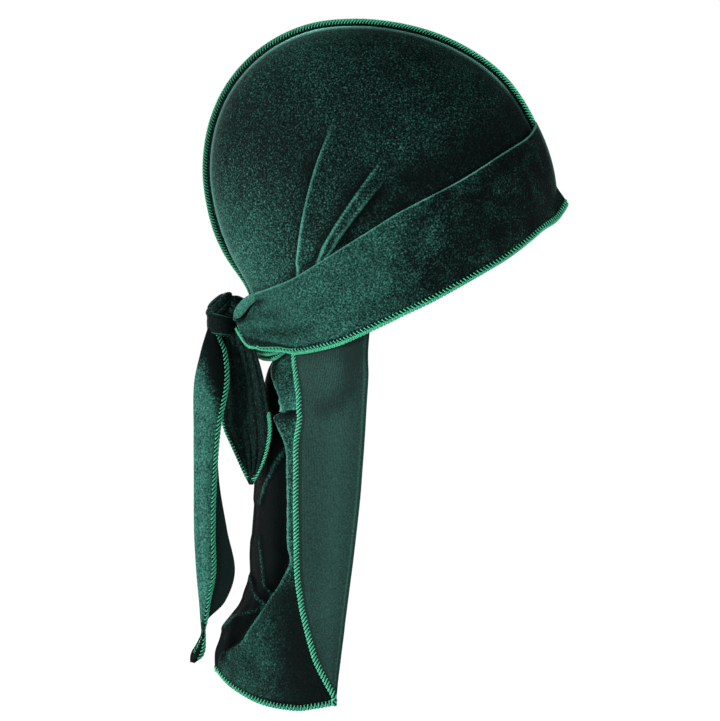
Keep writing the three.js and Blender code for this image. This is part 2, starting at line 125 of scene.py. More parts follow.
def along_line(points: Sequence[Pair], x: Array, y: Array) -> tuple[Array, Array]:
    """Measures places against a bent line.

    Args:
        points: corners of the line, each a pair.
        x: first coordinates of the places.
        y: second coordinates of the places.

    Returns:
        The distance to the line, positive on the right of its way, and the share of the line
        at which each place is nearest.
    """
    best = np.full(np.shape(x), np.inf)
    signed, shares = np.zeros_like(best), np.zeros_like(best)
    corners = np.array(points, float)
    steps = np.linalg.norm(np.diff(corners, axis=0), axis=1)
    before = np.concatenate([[0.0], np.cumsum(steps)]) / steps.sum()
    for index, step in enumerate(steps):
        way = (corners[index + 1] - corners[index]) / step
        dx, dy = x - corners[index][0], y - corners[index][1]
        reach = np.clip(dx * way[0] + dy * way[1], 0, step)
        gap = np.hypot(dx - way[0] * reach, dy - way[1] * reach)
        side = np.where(dx * way[1] - dy * way[0] >= 0, 1.0, -1.0)
        nearer = gap < best
        best = np.where(nearer, gap, best)
        signed = np.where(nearer, gap * side, signed)
        shares = np.where(nearer, lerp(before[index], before[index + 1], reach / step), shares)
    return signed, shares


def sewn_shade(distance: Array) -> Array:
    """Returns the painted shade beside the overlock, by distance from the edge."""
    return -SEWN_SHADE * (1 - smoothstep(distance, *SEWN_FADE))


class Table:
    """Named columns of numbers, each read as a smooth curve along the first column."""

    def __init__(self, columns: str, *rows: Sequence[float]) -> None:
        """Keeps the rows in rising order of their first column.

        Args:
            columns: names of the columns, with spaces between them.
            rows: one sequence of numbers for each row.
        """
        self.names = columns.split()
        self.rows = np.array(sorted(rows), float)

    def read(self, column: str, place: Array) -> Array:
        """Reads a column between its rows.

        Args:
            column: name of the column.
            place: where to read, in the unit of the first column.

        Returns:
            The column's values there, held constant past both ends.
        """
        keys = self.rows[:, 0]
        values = self.rows[:, self.names.index(column)]
        last = len(keys) - 1
        before = np.maximum(np.arange(last + 1) - 1, 0)
        after = np.minimum(np.arange(last + 1) + 1, last)
        slopes = (values[after] - values[before]) / (keys[after] - keys[before])
        at = np.clip(np.asarray(place, float), keys[0], keys[-1])
        row = np.clip(np.searchsorted(keys, at, side="right") - 1, 0, last - 1)
        span = keys[row + 1] - keys[row]
        share = (at - keys[row]) / span
        square, cube = share**2, share**3
        return (
            (2 * cube - 3 * square + 1) * values[row]
            + (cube - 2 * square + share) * span * slopes[row]
            + (3 * square - 2 * cube) * values[row + 1]
            + (cube - square) * span * slopes[row + 1]
        )

    def between(self, share: Array) -> Array:
        """Goes from the first row's place to the last row's by a share."""
        return lerp(self.rows[0, 0], self.rows[-1, 0], share)

    def stacked(self, *blocks: Array) -> "Table":
        """Returns a table with the same columns and the rows of some blocks."""
        return Table(" ".join(self.names), *np.vstack(blocks).tolist())

    def repeated(self, period: float) -> "Table":
        """Returns the table with its rows repeated one period before and after."""
        step = period * (np.arange(len(self.names)) == 0)
        return self.stacked(self.rows - step, self.rows, self.rows + step)

    def mirrored(self) -> "Table":
        """Returns the table with its rows mirrored about 0 in the first column."""
        flip = np.where(np.arange(len(self.names)) == 0, -1.0, 1.0)
        return self.stacked(self.rows[self.rows[:, 0] > 0] * flip, self.rows)


# ------------------------------------------------------------------ meshes


def mesh_object(name: str, bm: bmesh.types.BMesh) -> bpy.types.Object:
    """Turns a bmesh into a smooth-shaded object at the origin.

    Args:
        name: name of the piece.
        bm: the mesh, which is freed.

    Returns:
        The piece, linked to the scene.
    """
    mesh = bpy.data.meshes.new(name)
    bm.to_mesh(mesh)
    bm.free()
    mesh.polygons.foreach_set("use_smooth", [True] * len(mesh.polygons))
    piece = bpy.data.objects.new(name, mesh)
    bpy.context.scene.collection.objects.link(piece)
    return piece


def lay_pile_and_shade(bm: bmesh.types.BMesh, lies: dict[str, Array]) -> None:
    """Writes how the pile lies and where light and shade are painted, at each vertex: one
    named attribute for each entry.

    Args:
        bm: the mesh to write to.
        lies: by attribute, its value at each vertex.
    """
    for attribute, values in lies.items():
        column = bm.verts.layers.float.new(attribute)
        for vertex, value in zip(bm.verts, values):
            vertex[column] = value


def bent_grid(name: str, across: int, along: int, law: Law, size: Pair,
              flipped: bool = False, joined: float = 0.0, closed: bool = False,
              pile: PileAndShade | None = None) -> bpy.types.Object:
    """Makes a sheet: a flat grid whose vertices a law moves into place.

    Args:
        name: name of the piece.
        across: faces across the sheet.
        along: faces along the sheet.
        law: takes shares across and along, and returns points in millimetres.
        size: flat width and length in millimetres, for the sheet's own pattern map.
        flipped: turns the faces to the other side.
        joined: distance in millimetres under which vertices are merged.
        closed: turns the faces of a closed form outward.
        pile: the pile's lie and its painted light and shade, as attributes at the same shares.

    Returns:
        The sheet, with a pattern map in metres.
    """
    bm = bmesh.new()
    layer = bm.loops.layers.uv.new("cloth")
    bmesh.ops.create_grid(bm, x_segments=across, y_segments=along, size=0.5, calc_uvs=True)
    flat = np.array([vertex.co[:] for vertex in bm.verts])
    places = law(flat[:, 0] + 0.5, flat[:, 1] + 0.5) * MM
    for vertex, place in zip(bm.verts, places):
        vertex.co = place
    if pile:
        lay_pile_and_shade(bm, pile(flat[:, 0] + 0.5, flat[:, 1] + 0.5))
    scale = Vector(size) * MM
    for face in bm.faces:
        for loop in face.loops:
            loop[layer].uv = loop[layer].uv * scale
    if flipped:
        bmesh.ops.reverse_faces(bm, faces=bm.faces[:])
    if joined:
        bmesh.ops.remove_doubles(bm, verts=bm.verts[:], dist=joined * MM)
    if closed:
        bmesh.ops.recalc_face_normals(bm, faces=bm.faces[:])
    return mesh_object(name, bm)


def thicken(piece: bpy.types.Object, thickness: float) -> None:
    """Gives a sheet its thickness in millimetres, with its wrong side in the next material.

    Args:
        piece: the sheet.
        thickness: how thick the cloth is.
    """
    shell = piece.modifiers.new("thickness", "SOLIDIFY")
    shell.thickness = thickness * MM
    shell.offset = 0.0
    shell.material_offset = 1
    shell.material_offset_rim = 0


def dress(piece: bpy.types.Object, slot: Slot, *materials: bpy.types.Material) -> None:
    """Gives a piece its materials, and lets it ride on the body.

    Args:
        piece: the piece.
        slot: the slot that its outside fills; not used.
        *materials: its outside's, then its wrong side's where it has one.
    """
    for material in materials:
        piece.data.materials.append(material)
    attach(piece, BODY)
    LOG.info("%s: %d faces", piece.name, len(piece.data.polygons))


# ------------------------------------------------------------------ finishes


class Nodes:
    """A short way to write a node material."""

    def __init__(self, name: str) -> None:
        """Starts a material that holds a Principled shader and its output.

        Args:
            name: name of the material.
        """
        self.material = bpy.data.materials.new(name)
        self.material.use_nodes = True
        self.tree = self.material.node_tree
        self.shader = self.tree.nodes["Principled BSDF"]

    def add(self, kind: str, **settings: object) -> bpy.types.Node:
        """Adds a node and sets its properties, or its sockets where a name is a socket's.

        Args:
            kind: the node's type.
            **settings: its properties and sockets, by name.

        Returns:
            The new node.
        """
        node = self.tree.nodes.new(kind)
        for key, value in settings.items():
            name = key.replace("_", " ").title()
            if name in node.inputs:
                node.inputs[name].default_value = value
            else:
                setattr(node, key, value)
        return node

    def link(self, source: bpy.types.NodeSocket, target: bpy.types.NodeSocket) -> None:
        """Links two sockets."""
        self.tree.links.new(source, target)

    def attribute(self, name: str) -> bpy.types.NodeSocket:
        """Adds a reader of one of the piece's named attributes."""
        return self.add("ShaderNodeAttribute", attribute_name=name).outputs["Fac"]

    def map_range(self, value: bpy.types.NodeSocket, source: Pair, target: Pair,
                  kind: str = "LINEAR") -> bpy.types.NodeSocket:
        """Carries a value from one range over to another.

        Args:
            value: the value.
            source: ends of the range that it is in.
            target: ends of the range that it goes to.
            kind: how it goes between the ends.

        Returns:
            The new value.
        """
        node = self.add("ShaderNodeMapRange", interpolation_type=kind, from_min=source[0],
                        from_max=source[1], to_min=target[0], to_max=target[1])
        self.link(value, node.inputs["Value"])
        return node.outputs["Result"]

    def noise(self, size: float, detail: float, vector: bpy.types.NodeSocket,
              distortion: float = 0.0) -> bpy.types.NodeSocket:
        """Adds noise whose grains are about size millimetres across.

        Args:
            size: how large a grain is.
            detail: how many finer layers it has.
            vector: the coordinates.
            distortion: how far its grains are bent.

        Returns:
            The noise, from 0 to 1.
        """
        node = self.add("ShaderNodeTexNoise", scale=1 / (size * MM), detail=detail,
                        distortion=distortion)
        self.link(vector, node.inputs["Vector"])
        return node.outputs["Fac"]

    def calculate(self, operation: str, first: object, second: object,
                  *third: object) -> bpy.types.NodeSocket:
        """Adds a Math node whose inputs are sockets or numbers.

        Args:
            operation: the node's operation.
            first: a socket or a number.
            second: a socket or a number.
            *third: one more, where the operation takes it.

        Returns:
            The result.
        """
        node = self.add("ShaderNodeMath", operation=operation)
        for index, value in enumerate((first, second, *third)):
            if isinstance(value, (int, float)):
                node.inputs[index].default_value = value
            else:
                self.link(value, node.inputs[index])
        return node.outputs[0]

    def ramp(self, factor: bpy.types.NodeSocket, stops: Tones) -> bpy.types.NodeSocket:
        """Adds a colour ramp with the given places and colours.

        Args:
            factor: where to read the ramp.
            stops: its places and colours.

        Returns:
            The colour.
        """
        node = self.add("ShaderNodeValToRGB")
        elements = node.color_ramp.elements
        while len(elements) < len(stops):
            elements.new(1.0)
        for element, (place, colour) in zip(elements, stops):
            element.position = place
            element.color = (*colour, 1.0)
        self.link(factor, node.inputs["Fac"])
        return node.outputs["Color"]

    def bump(self, height: bpy.types.NodeSocket, strength: float, depth: float) -> None:
        """Raises the surface by a height pattern, depth millimetres at most.

        Args:
            height: the pattern, from 0 to 1.
            strength: how much of it shows.
            depth: how high it is at 1.
        """
        node = self.add("ShaderNodeBump", strength=strength, distance=depth * MM)
        self.link(height, node.inputs["Height"])
        self.link(node.outputs["Normal"], self.shader.inputs["Normal"])

    def gloss(self, **values: float | Sequence[float]) -> None:
        """Sets the shader's own sockets, named by their words with underscores."""
        for key, value in values.items():
            socket = key.replace("_", " ").title().replace("Ior", "IOR")
            self.shader.inputs[socket].default_value = value


@dataclass(frozen=True)
class Velvet:
    """Stretch velvet: a short dense pile that is dark face on and light at a slant.

    Its tufts part into a fine speckle, and it leans in soft patches. A sheet's own attributes
    tell how its pile lies and where light and shade are painted into its colour (the nap
    attribute), how far it is crushed (crush) and how smooth its tufts lie (calm).
    """

    name: str
    tones: Tones = (
        (0.12, (0.0008, 0.0030, 0.0028)), (0.29, (0.0022, 0.0095, 0.0080)),
        (0.43, (0.0065, 0.0310, 0.0245)), (0.57, (0.0160, 0.0780, 0.0600)),
        (0.77, (0.0480, 0.1950, 0.1480)), (1.0, (0.1500, 0.4100, 0.3300)),
    )
    base: float = 0.52
    nap_and_light_tone: float = 0.22
    tuft: float = 1.0
    contrast: float = 1.0
    lit_calm: float = 0.5
    dark_contrast: float = 2.6
    dark_calm: float = 1.1
    least_contrast: float = 0.1
    patch: float = 13.0
    lean: float = 0.12
    crush_lean: float = 0.55
    sheen: float = 0.10
    rim_sheen: float = 1.0
    rim_facing: Pair = (0.75, 0.91)
    sheen_roughness: float = 0.25
    sheen_tint: tuple[float, ...] = (0.30, 0.80, 0.66, 1.0)
    dull_shading: Pair = (-1.35, -1.0)
    dull_sheen: float = 0.2
    relief: float = 0.5

    def build(self) -> bpy.types.Material:
        """Builds the pile's colour, sheen and relief.

        Returns:
            The material.
        """
        nodes = Nodes(self.name)
        place = nodes.add("ShaderNodeTexCoord").outputs["Object"]
        tufts = nodes.noise(self.tuft, 1.5, place, 0.4)
        patches = nodes.noise(self.patch, 2.5, place, 0.5)
        nap, crush, calm = (nodes.attribute(name) for name in ("nap", "crush", "calm"))
        on_lit = nodes.calculate("MULTIPLY_ADD", nap, -self.lit_calm, self.contrast)
        on_dark = nodes.calculate("MULTIPLY_ADD", nap, self.dark_calm, self.dark_contrast)
        parted = nodes.calculate("MAXIMUM", nodes.calculate("MINIMUM", on_lit, on_dark),
                                 self.least_contrast)
        parted = nodes.calculate("MULTIPLY", parted, nodes.calculate("SUBTRACT", 1.0, calm))
        speckle = nodes.calculate("MULTIPLY_ADD", nodes.calculate("SUBTRACT", tufts, 0.5), parted,
                                  self.base)
        # Painted light and shade: the nap attribute moves the tone up or down the ramp.
        speckle_and_shading = nodes.calculate("MULTIPLY_ADD", nap, self.nap_and_light_tone, speckle)
        depth = nodes.calculate("MULTIPLY_ADD", crush, self.crush_lean, self.lean)
        leaned = nodes.calculate("MULTIPLY", nodes.calculate("SUBTRACT", patches, 0.5), depth)
        colour = nodes.ramp(nodes.calculate("ADD", speckle_and_shading, leaned), self.tones)
        nodes.link(colour, nodes.shader.inputs["Base Color"])
        nodes.gloss(roughness=0.8, sheen_roughness=self.sheen_roughness,
                    sheen_tint=self.sheen_tint, specular_ior_level=0.06)
        facing = nodes.add("ShaderNodeLayerWeight", blend=0.5).outputs["Facing"]
        rim = nodes.map_range(facing, self.rim_facing, (self.sheen, self.rim_sheen), "SMOOTHSTEP")
        # The sheen is turned down where the nap attribute paints shade.
        lit = nodes.map_range(nap, self.dull_shading, (self.dull_sheen, 1.0))
        nodes.link(nodes.calculate("MULTIPLY", rim, lit), nodes.shader.inputs["Sheen Weight"])
        nodes.bump(tufts, 0.7, self.relief)
        return nodes.material


@dataclass(frozen=True)
class KnitBack:
    """The smooth wrong side of the velvet: a fine knit with lengthwise ribs of loops."""

    name: str
    tones: Tones = (
        (0.12, (0.0030, 0.014, 0.0115)), (0.42, (0.0150, 0.062, 0.049)),
        (0.75, (0.0450, 0.150, 0.120)),
    )
    rib: float = 1.1
    rib_tone: float = 0.16
    grain: float = 0.9
    grain_tone: float = 0.62
    nap_and_light_tone: float = 0.25
    sheen_tint: tuple[float, ...] = (0.35, 0.8, 0.68, 1.0)
    relief: float = 0.25

    def build(self) -> bpy.types.Material:
        """Builds the knit's colour and its ribs along the cloth.

        Returns:
            The material.
        """
        nodes = Nodes(self.name)
        coordinates = nodes.add("ShaderNodeTexCoord")
        # The wave repeats once in pi / (10 * scale).
        ribs = nodes.add("ShaderNodeTexWave", scale=math.pi / (10 * self.rib * MM),
                         distortion=0.6, detail=1.0, detail_scale=2.0)
        nodes.link(coordinates.outputs["UV"], ribs.inputs["Vector"])
        grain = nodes.noise(self.grain, 2.0, coordinates.outputs["Object"])
        mix = nodes.calculate(
            "ADD",
            nodes.calculate("MULTIPLY", ribs.outputs["Fac"], self.rib_tone),
            nodes.calculate("MULTIPLY", grain, self.grain_tone),
        )
        # Painted light and shade on the wrong side, from the nap attribute.
        tone = nodes.calculate("MULTIPLY_ADD", nodes.attribute("nap"), self.nap_and_light_tone, mix)
        nodes.link(nodes.ramp(tone, self.tones), nodes.shader.inputs["Base Color"])
        nodes.gloss(roughness=0.8, sheen_weight=0.15, sheen_roughness=0.5,
                    sheen_tint=self.sheen_tint, specular_ior_level=0.15)
        nodes.bump(mix, 0.35, self.relief)
        return nodes.material


@dataclass(frozen=True)
class OverlockThread:
    """Bright bulky polyester thread, twisted, with a soft lustre.

    Painted light: its colour has one gain at the back and another in front, and goes evenly
    between them, so that the thread is painted lighter or darker by where light falls.
    """

    name: str
    tones: Tones = ((0.3, (0.012, 0.150, 0.090)), (0.62, (0.050, 0.420, 0.235)))
    fibre: float = 0.7
    back_light_gain: float = 1.0
    front_light_gain: float = 1.0
    light_gain_span: Pair = (60.0, -70.0)
    sheen_tint: tuple[float, ...] = (0.4, 1.0, 0.7, 1.0)
    relief: float = 0.15

    def build(self) -> bpy.types.Material:
        """Builds the thread's colour, painted brighter towards the front, and its fibres' twist.

        Returns:
            The material.
        """
        nodes = Nodes(self.name)
        place = nodes.add("ShaderNodeTexCoord").outputs["Object"]
        fibres = nodes.noise(self.fibre, 2.0, place, 1.0)
        colour = nodes.ramp(fibres, self.tones)
        parts = nodes.add("ShaderNodeSeparateXYZ")
        nodes.link(place, parts.inputs["Vector"])
        back, front = self.light_gain_span
        gain = nodes.map_range(parts.outputs["Y"], (back * MM, front * MM),
                               (self.back_light_gain, self.front_light_gain))
        brighter = nodes.add("ShaderNodeVectorMath", operation="SCALE")
        nodes.link(colour, brighter.inputs[0])
        nodes.link(gain, brighter.inputs["Scale"])
        nodes.link(brighter.outputs["Vector"], nodes.shader.inputs["Base Color"])
        nodes.gloss(roughness=0.5, sheen_weight=0.3, sheen_roughness=0.4,
                    sheen_tint=self.sheen_tint, specular_ior_level=0.35)
        nodes.bump(fibres, 0.4, self.relief)
        return nodes.material


@dataclass
class Wardrobe:
    """The durag's finishes, built once."""

    velvet: bpy.types.Material
    shaded: bpy.types.Material
    knit: bpy.types.Material
    thread: bpy.types.Material
    seam_thread: bpy.types.Material

    @classmethod
    def build(cls) -> "Wardrobe":
        """Builds every finish."""
        return cls(
            velvet=Velvet("emerald_velvet").build(),
            # A darker copy of the velvet with little sheen, for pieces that lie in shade: painted
            # shade.
            shaded=Velvet("emerald_velvet_painted_shade", sheen=0.05, rim_sheen=0.3,
                          base=0.24).build(),
            knit=KnitBack("velvet_wrong_side").build(),
            # Painted light on both threads: brighter towards the front, and the seam's darker at
            # the back.
            thread=OverlockThread("overlock_thread", back_light_gain=1.3, front_light_gain=1.7).build(),
            seam_thread=OverlockThread("seam_thread", back_light_gain=0.78, front_light_gain=3.1).build(),
        )


# ------------------------------------------------------------------ overlock


@dataclass
class Edge:
    """A raw edge of cloth: points along it and, at each, the ways into the cloth and off it."""

    points: Array
    inward: Array
    off: Array
    breadth: Array | None = None

    @classmethod
    def of(cls, law: Law, across: Array, along: Array, inner: Pair,
           flipped: bool = False) -> "Edge":
        """Follows an edge of a sheet.

        Args:
            law: the sheet's law.
            across: shares across, one for each point of the edge.
            along: shares along, one for each point of the edge.
            inner: a small step in both shares that leads into the cloth.
            flipped: takes the cloth's other side as its outside.

        Returns:
            The edge with its frames, in millimetres.
        """
        points = law(across, along)
        inside = law(across + inner[0], along + inner[1])
        inward = unit(inside - points)
        tangent = unit(np.gradient(points, axis=0))
        inward = unit(inward - tangent * np.sum(inward * tangent, axis=1, keepdims=True))
        off = unit(np.cross(tangent, inward))
        return cls(points, inward, -off if flipped else off)

    def room(self, along: Array) -> Array:
        """Returns how far into the cloth a stitch may reach at a distance along the edge.

        Args:
            along: distances along the edge.

        Returns:
            The depths, without end where the edge has no breadth of its own.
        """
        if self.breadth is None:
            return np.full(np.shape(along), np.inf)
        return np.interp(along, self.lengths(), self.breadth)

    def led_in(self, *points: Triple, count: int = 12) -> "Edge":
        """Returns the edge with a few points before its start, which keep its first frame.

        Args:
            *points: the new points, in their order.
            count: how many steps lead over them.

        Returns:
            The longer edge.
        """
        way = np.array([*points, self.points[0]])
        share = np.linspace(0, len(points), count, endpoint=False)
        lead = np.stack([np.interp(share, np.arange(len(way)), way[:, axis])
                         for axis in range(3)], 1)
        breadth = self.breadth
        if breadth is not None:
            breadth = np.concatenate([np.repeat(breadth[:1], count), breadth])
        return Edge(np.vstack([lead, self.points]),
                    np.vstack([np.repeat(self.inward[:1], count, 0), self.inward]),
                    np.vstack([np.repeat(self.off[:1], count, 0), self.off]), breadth)

    def lengths(self) -> Array:
        """Returns the distance along the edge of each of its points."""
        steps = np.linalg.norm(np.diff(self.points, axis=0), axis=1)
        return np.concatenate([[0.0], np.cumsum(steps)])

    def sample(self, values: Array, along: Array) -> Array:
        """Reads values, one row for each point of the edge, at distances along it."""
        lengths = self.lengths()
        return np.stack([np.interp(along, lengths, column) for column in values.T], 1)

    def place(self, along: Array, depth: Array, height: Array) -> Array:
        """Finds points at a distance along the edge, a depth into the cloth and a height off it.

        Args:
            along: distances along the edge.
            depth: depths into the cloth.
            height: heights off the cloth's middle.

        Returns:
            The places, in millimetres.
        """
        return (
            self.sample(self.points, along)
            + unit(self.sample(self.inward, along)) * depth[:, None]
            + unit(self.sample(self.off, along)) * height[:, None]
        )


@dataclass
class Overlock:
    """Three-thread overlock over a raw edge: slanted bars, loops round the edge and a core.

    Where the chain has a radius, two more threads plait along the edge over the bars' ends.
    """

    pitch: float = 2.25
    width: float = 3.8
    loop_width: float = 2.0
    overhang: float = 0.45
    slant: float = -2.3
    cloth: float = 0.9
    bar_radius: float = 0.35
    loop_radius: float = 0.27
    core_radius: float = 0.18
    core_share: float = 0.2
    chain_radius: float = 0.0
    chain_depth: float = 0.85
    chain_sway: float = 0.68
    chain_samples: int = 6
    sides: int = 5
    samples: int = 10

    def helix(self, edge: Edge, width: float, radius: float, start: float) -> Array:
        """Runs a thread round the edge: slanted on the outside, and forward on the wrong side.

        Args:
            edge: the edge that is sewn.
            width: how far into the cloth the thread reaches.
            radius: half the thread's thickness.
            start: where in its pitch the first turn starts.

        Returns:
            The thread's path, in millimetres.
        """
        length = edge.lengths()[-1]
        turns = max(int(length / self.pitch) - 1, 1)
        turn = np.linspace(0, turns, turns * self.samples + 1)
        out = 0.5 - 0.5 * np.cos(2 * math.pi * turn)
        slant = self.slant * (width + self.overhang) / (self.width + self.overhang)
        forward = np.floor(turn) + np.maximum(2 * (turn % 1) - 1, 0) + start
        along = np.clip(forward * length / (turns + 1) + slant * (out - 0.5), 0, length)
        depth = lerp(np.minimum(width, edge.room(along)), -self.overhang, out)
        height = (self.cloth / 2 + radius * 0.7) * signed_power(np.sin(2 * math.pi * turn), 0.5)
        return edge.place(along, depth, height)

    def core(self, edge: Edge) -> Array:
        """Runs a thread along the edge, inside the loops.

        Args:
            edge: the edge that is sewn.

        Returns:
            The thread's path, in millimetres.
        """
        length = edge.lengths()[-1]
        along = np.linspace(0, length, max(int(length / self.pitch * 2), 8))
        depth = np.full(len(along), -self.overhang * self.core_share)
        return edge.place(along, depth, np.zeros(len(along)))

    def chain(self, edge: Edge, start: float) -> Array:
        """Runs one of the two threads that plait along the edge, over the bars' ends.

        Args:
            edge: the edge that is sewn.
            start: where in its plait the thread starts.

        Returns:
            The thread's path, in millimetres.
        """
        length = edge.lengths()[-1]
        plaits = max(int(length / self.pitch) - 1, 1)
        turn = np.linspace(0, plaits, plaits * self.chain_samples + 1)
        along = turn / plaits * length
        wave = 2 * math.pi * (turn + start)
        depth = np.minimum(self.chain_depth + self.chain_sway * np.cos(wave), edge.room(along))
        # The plait rests on the bars' crests and sinks a little between them.
        face = self.cloth / 2 + 1.5 * self.bar_radius + 0.5 * self.chain_radius
        return edge.place(along, depth, face + 0.4 * self.chain_radius * np.sin(wave))

    def tube(self, bm: bmesh.types.BMesh, path: Array, radius: float) -> None:
        """Adds a closed round thread along a path to a bmesh.

        Args:
            bm: the mesh to add to.
            path: the thread's path.
            radius: half the thread's thickness.
        """
        rings, sides = len(path), self.sides
        made = bmesh.ops.create_grid(bm, x_segments=sides, y_segments=rings - 1, size=0.5)
        flat = np.array([vertex.co[:] for vertex in made["verts"]])
        ring = np.rint((flat[:, 1] + 0.5) * (rings - 1)).astype(int)
        turn = (flat[:, 0] + 0.5) * 2 * math.pi
        tangent = unit(np.gradient(path, axis=0))
        helper = np.roll(tangent, 1, axis=0) + np.array([0.31, 0.47, 0.83])
        first = unit(np.cross(tangent, helper))
        for index in range(1, rings):
            carried = first[index - 1] - tangent[index] * np.dot(first[index - 1], tangent[index])
            first[index] = carried / max(np.linalg.norm(carried), 1e-9)
        second = np.cross(tangent, first)
        places = path[ring] + radius * (
            first[ring] * np.cos(turn)[:, None] + second[ring] * np.sin(turn)[:, None]
        )
        for vertex, place in zip(made["verts"], places * MM):
            vertex.co = place

    def sew(self, name: str, edges: Sequence[Edge], finish: bpy.types.Material) -> bpy.types.Object:
        """Sews over the edges.

        Args:
            name: name of the piece.
            edges: the edges that this piece covers.
            finish: the thread.

        Returns:
            One piece that holds every thread.
        """
        bm = bmesh.new()
        for edge in edges:
            threads = [
                (self.helix(edge, self.width, self.bar_radius, 0.0), self.bar_radius),
                (self.helix(edge, self.loop_width, self.loop_radius, 0.5), self.loop_radius),
                (self.core(edge), self.core_radius),
            ]
            if self.chain_radius:
                threads += [(self.chain(edge, start), self.chain_radius) for start in (0.0, 0.5)]
            for path, radius in threads:
                self.tube(bm, path, radius)
        bmesh.ops.remove_doubles(bm, verts=bm.verts[:], dist=1e-6)
        bmesh.ops.holes_fill(bm, edges=[edge for edge in bm.edges if edge.is_boundary], sides=0)
        bmesh.ops.recalc_face_normals(bm, faces=bm.faces[:])
        piece = mesh_object(name, bm)
        dress(piece, Slot.THREAD, finish)
        return piece


# ------------------------------------------------------------------ the form of the head


@dataclass
class HeadForm:
    """The crown drawn tight: a centre-plane outline that swells to both sides."""

    centre: Triple = (0.0, -14.5, -93.0)
    half_width: float = 77.0
    fullness: float = 2.2
    outline: Table = Table(
        "angle radius",
        (0, 96.5), (23, 93.5), (43, 93), (63, 91.6), (83, 92.4), (99, 95.6), (115, 100.7),
        (130, 103.8), (144, 104.8), (157, 103.8), (173, 101), (188, 98), (203, 96.4), (217, 97),
        (226, 105), (235, 114), (245, 121), (257, 127), (270, 129), (285, 124), (300, 115),
        (320, 105), (340, 98.5),
    ).repeated(360)

    def direction(self, turn: Array, up: Array) -> Array:
        """Returns directions at degrees round from the front towards the right, and degrees up."""
        turn, up = np.radians(turn), np.radians(up)
        return np.stack([-np.cos(up) * np.sin(turn), -np.cos(up) * np.cos(turn), np.sin(up)], -1)

    def radius(self, way: Array) -> Array:
        """Returns how far the form lies from its centre along each direction.

        Args:
            way: directions from the centre, each of length 1.

        Returns:
            The distances, in millimetres.
        """
        angle = np.degrees(np.arctan2(way[:, 2], -way[:, 1])) % 360
        middle = np.hypot(way[:, 1], way[:, 2]) / self.outline.read("radius", angle)
        side = np.abs(way[:, 0]) / self.half_width
        return (middle**self.fullness + side**self.fullness) ** (-1 / self.fullness)

    def point(self, turn: Array, up: Array, lift: Array) -> Array:
        """Returns points on the form, lifted off it along their directions."""
        way = self.direction(turn, up)
        return way * (self.radius(way) + lift)[:, None] + np.array(self.centre)


# ------------------------------------------------------------------ band


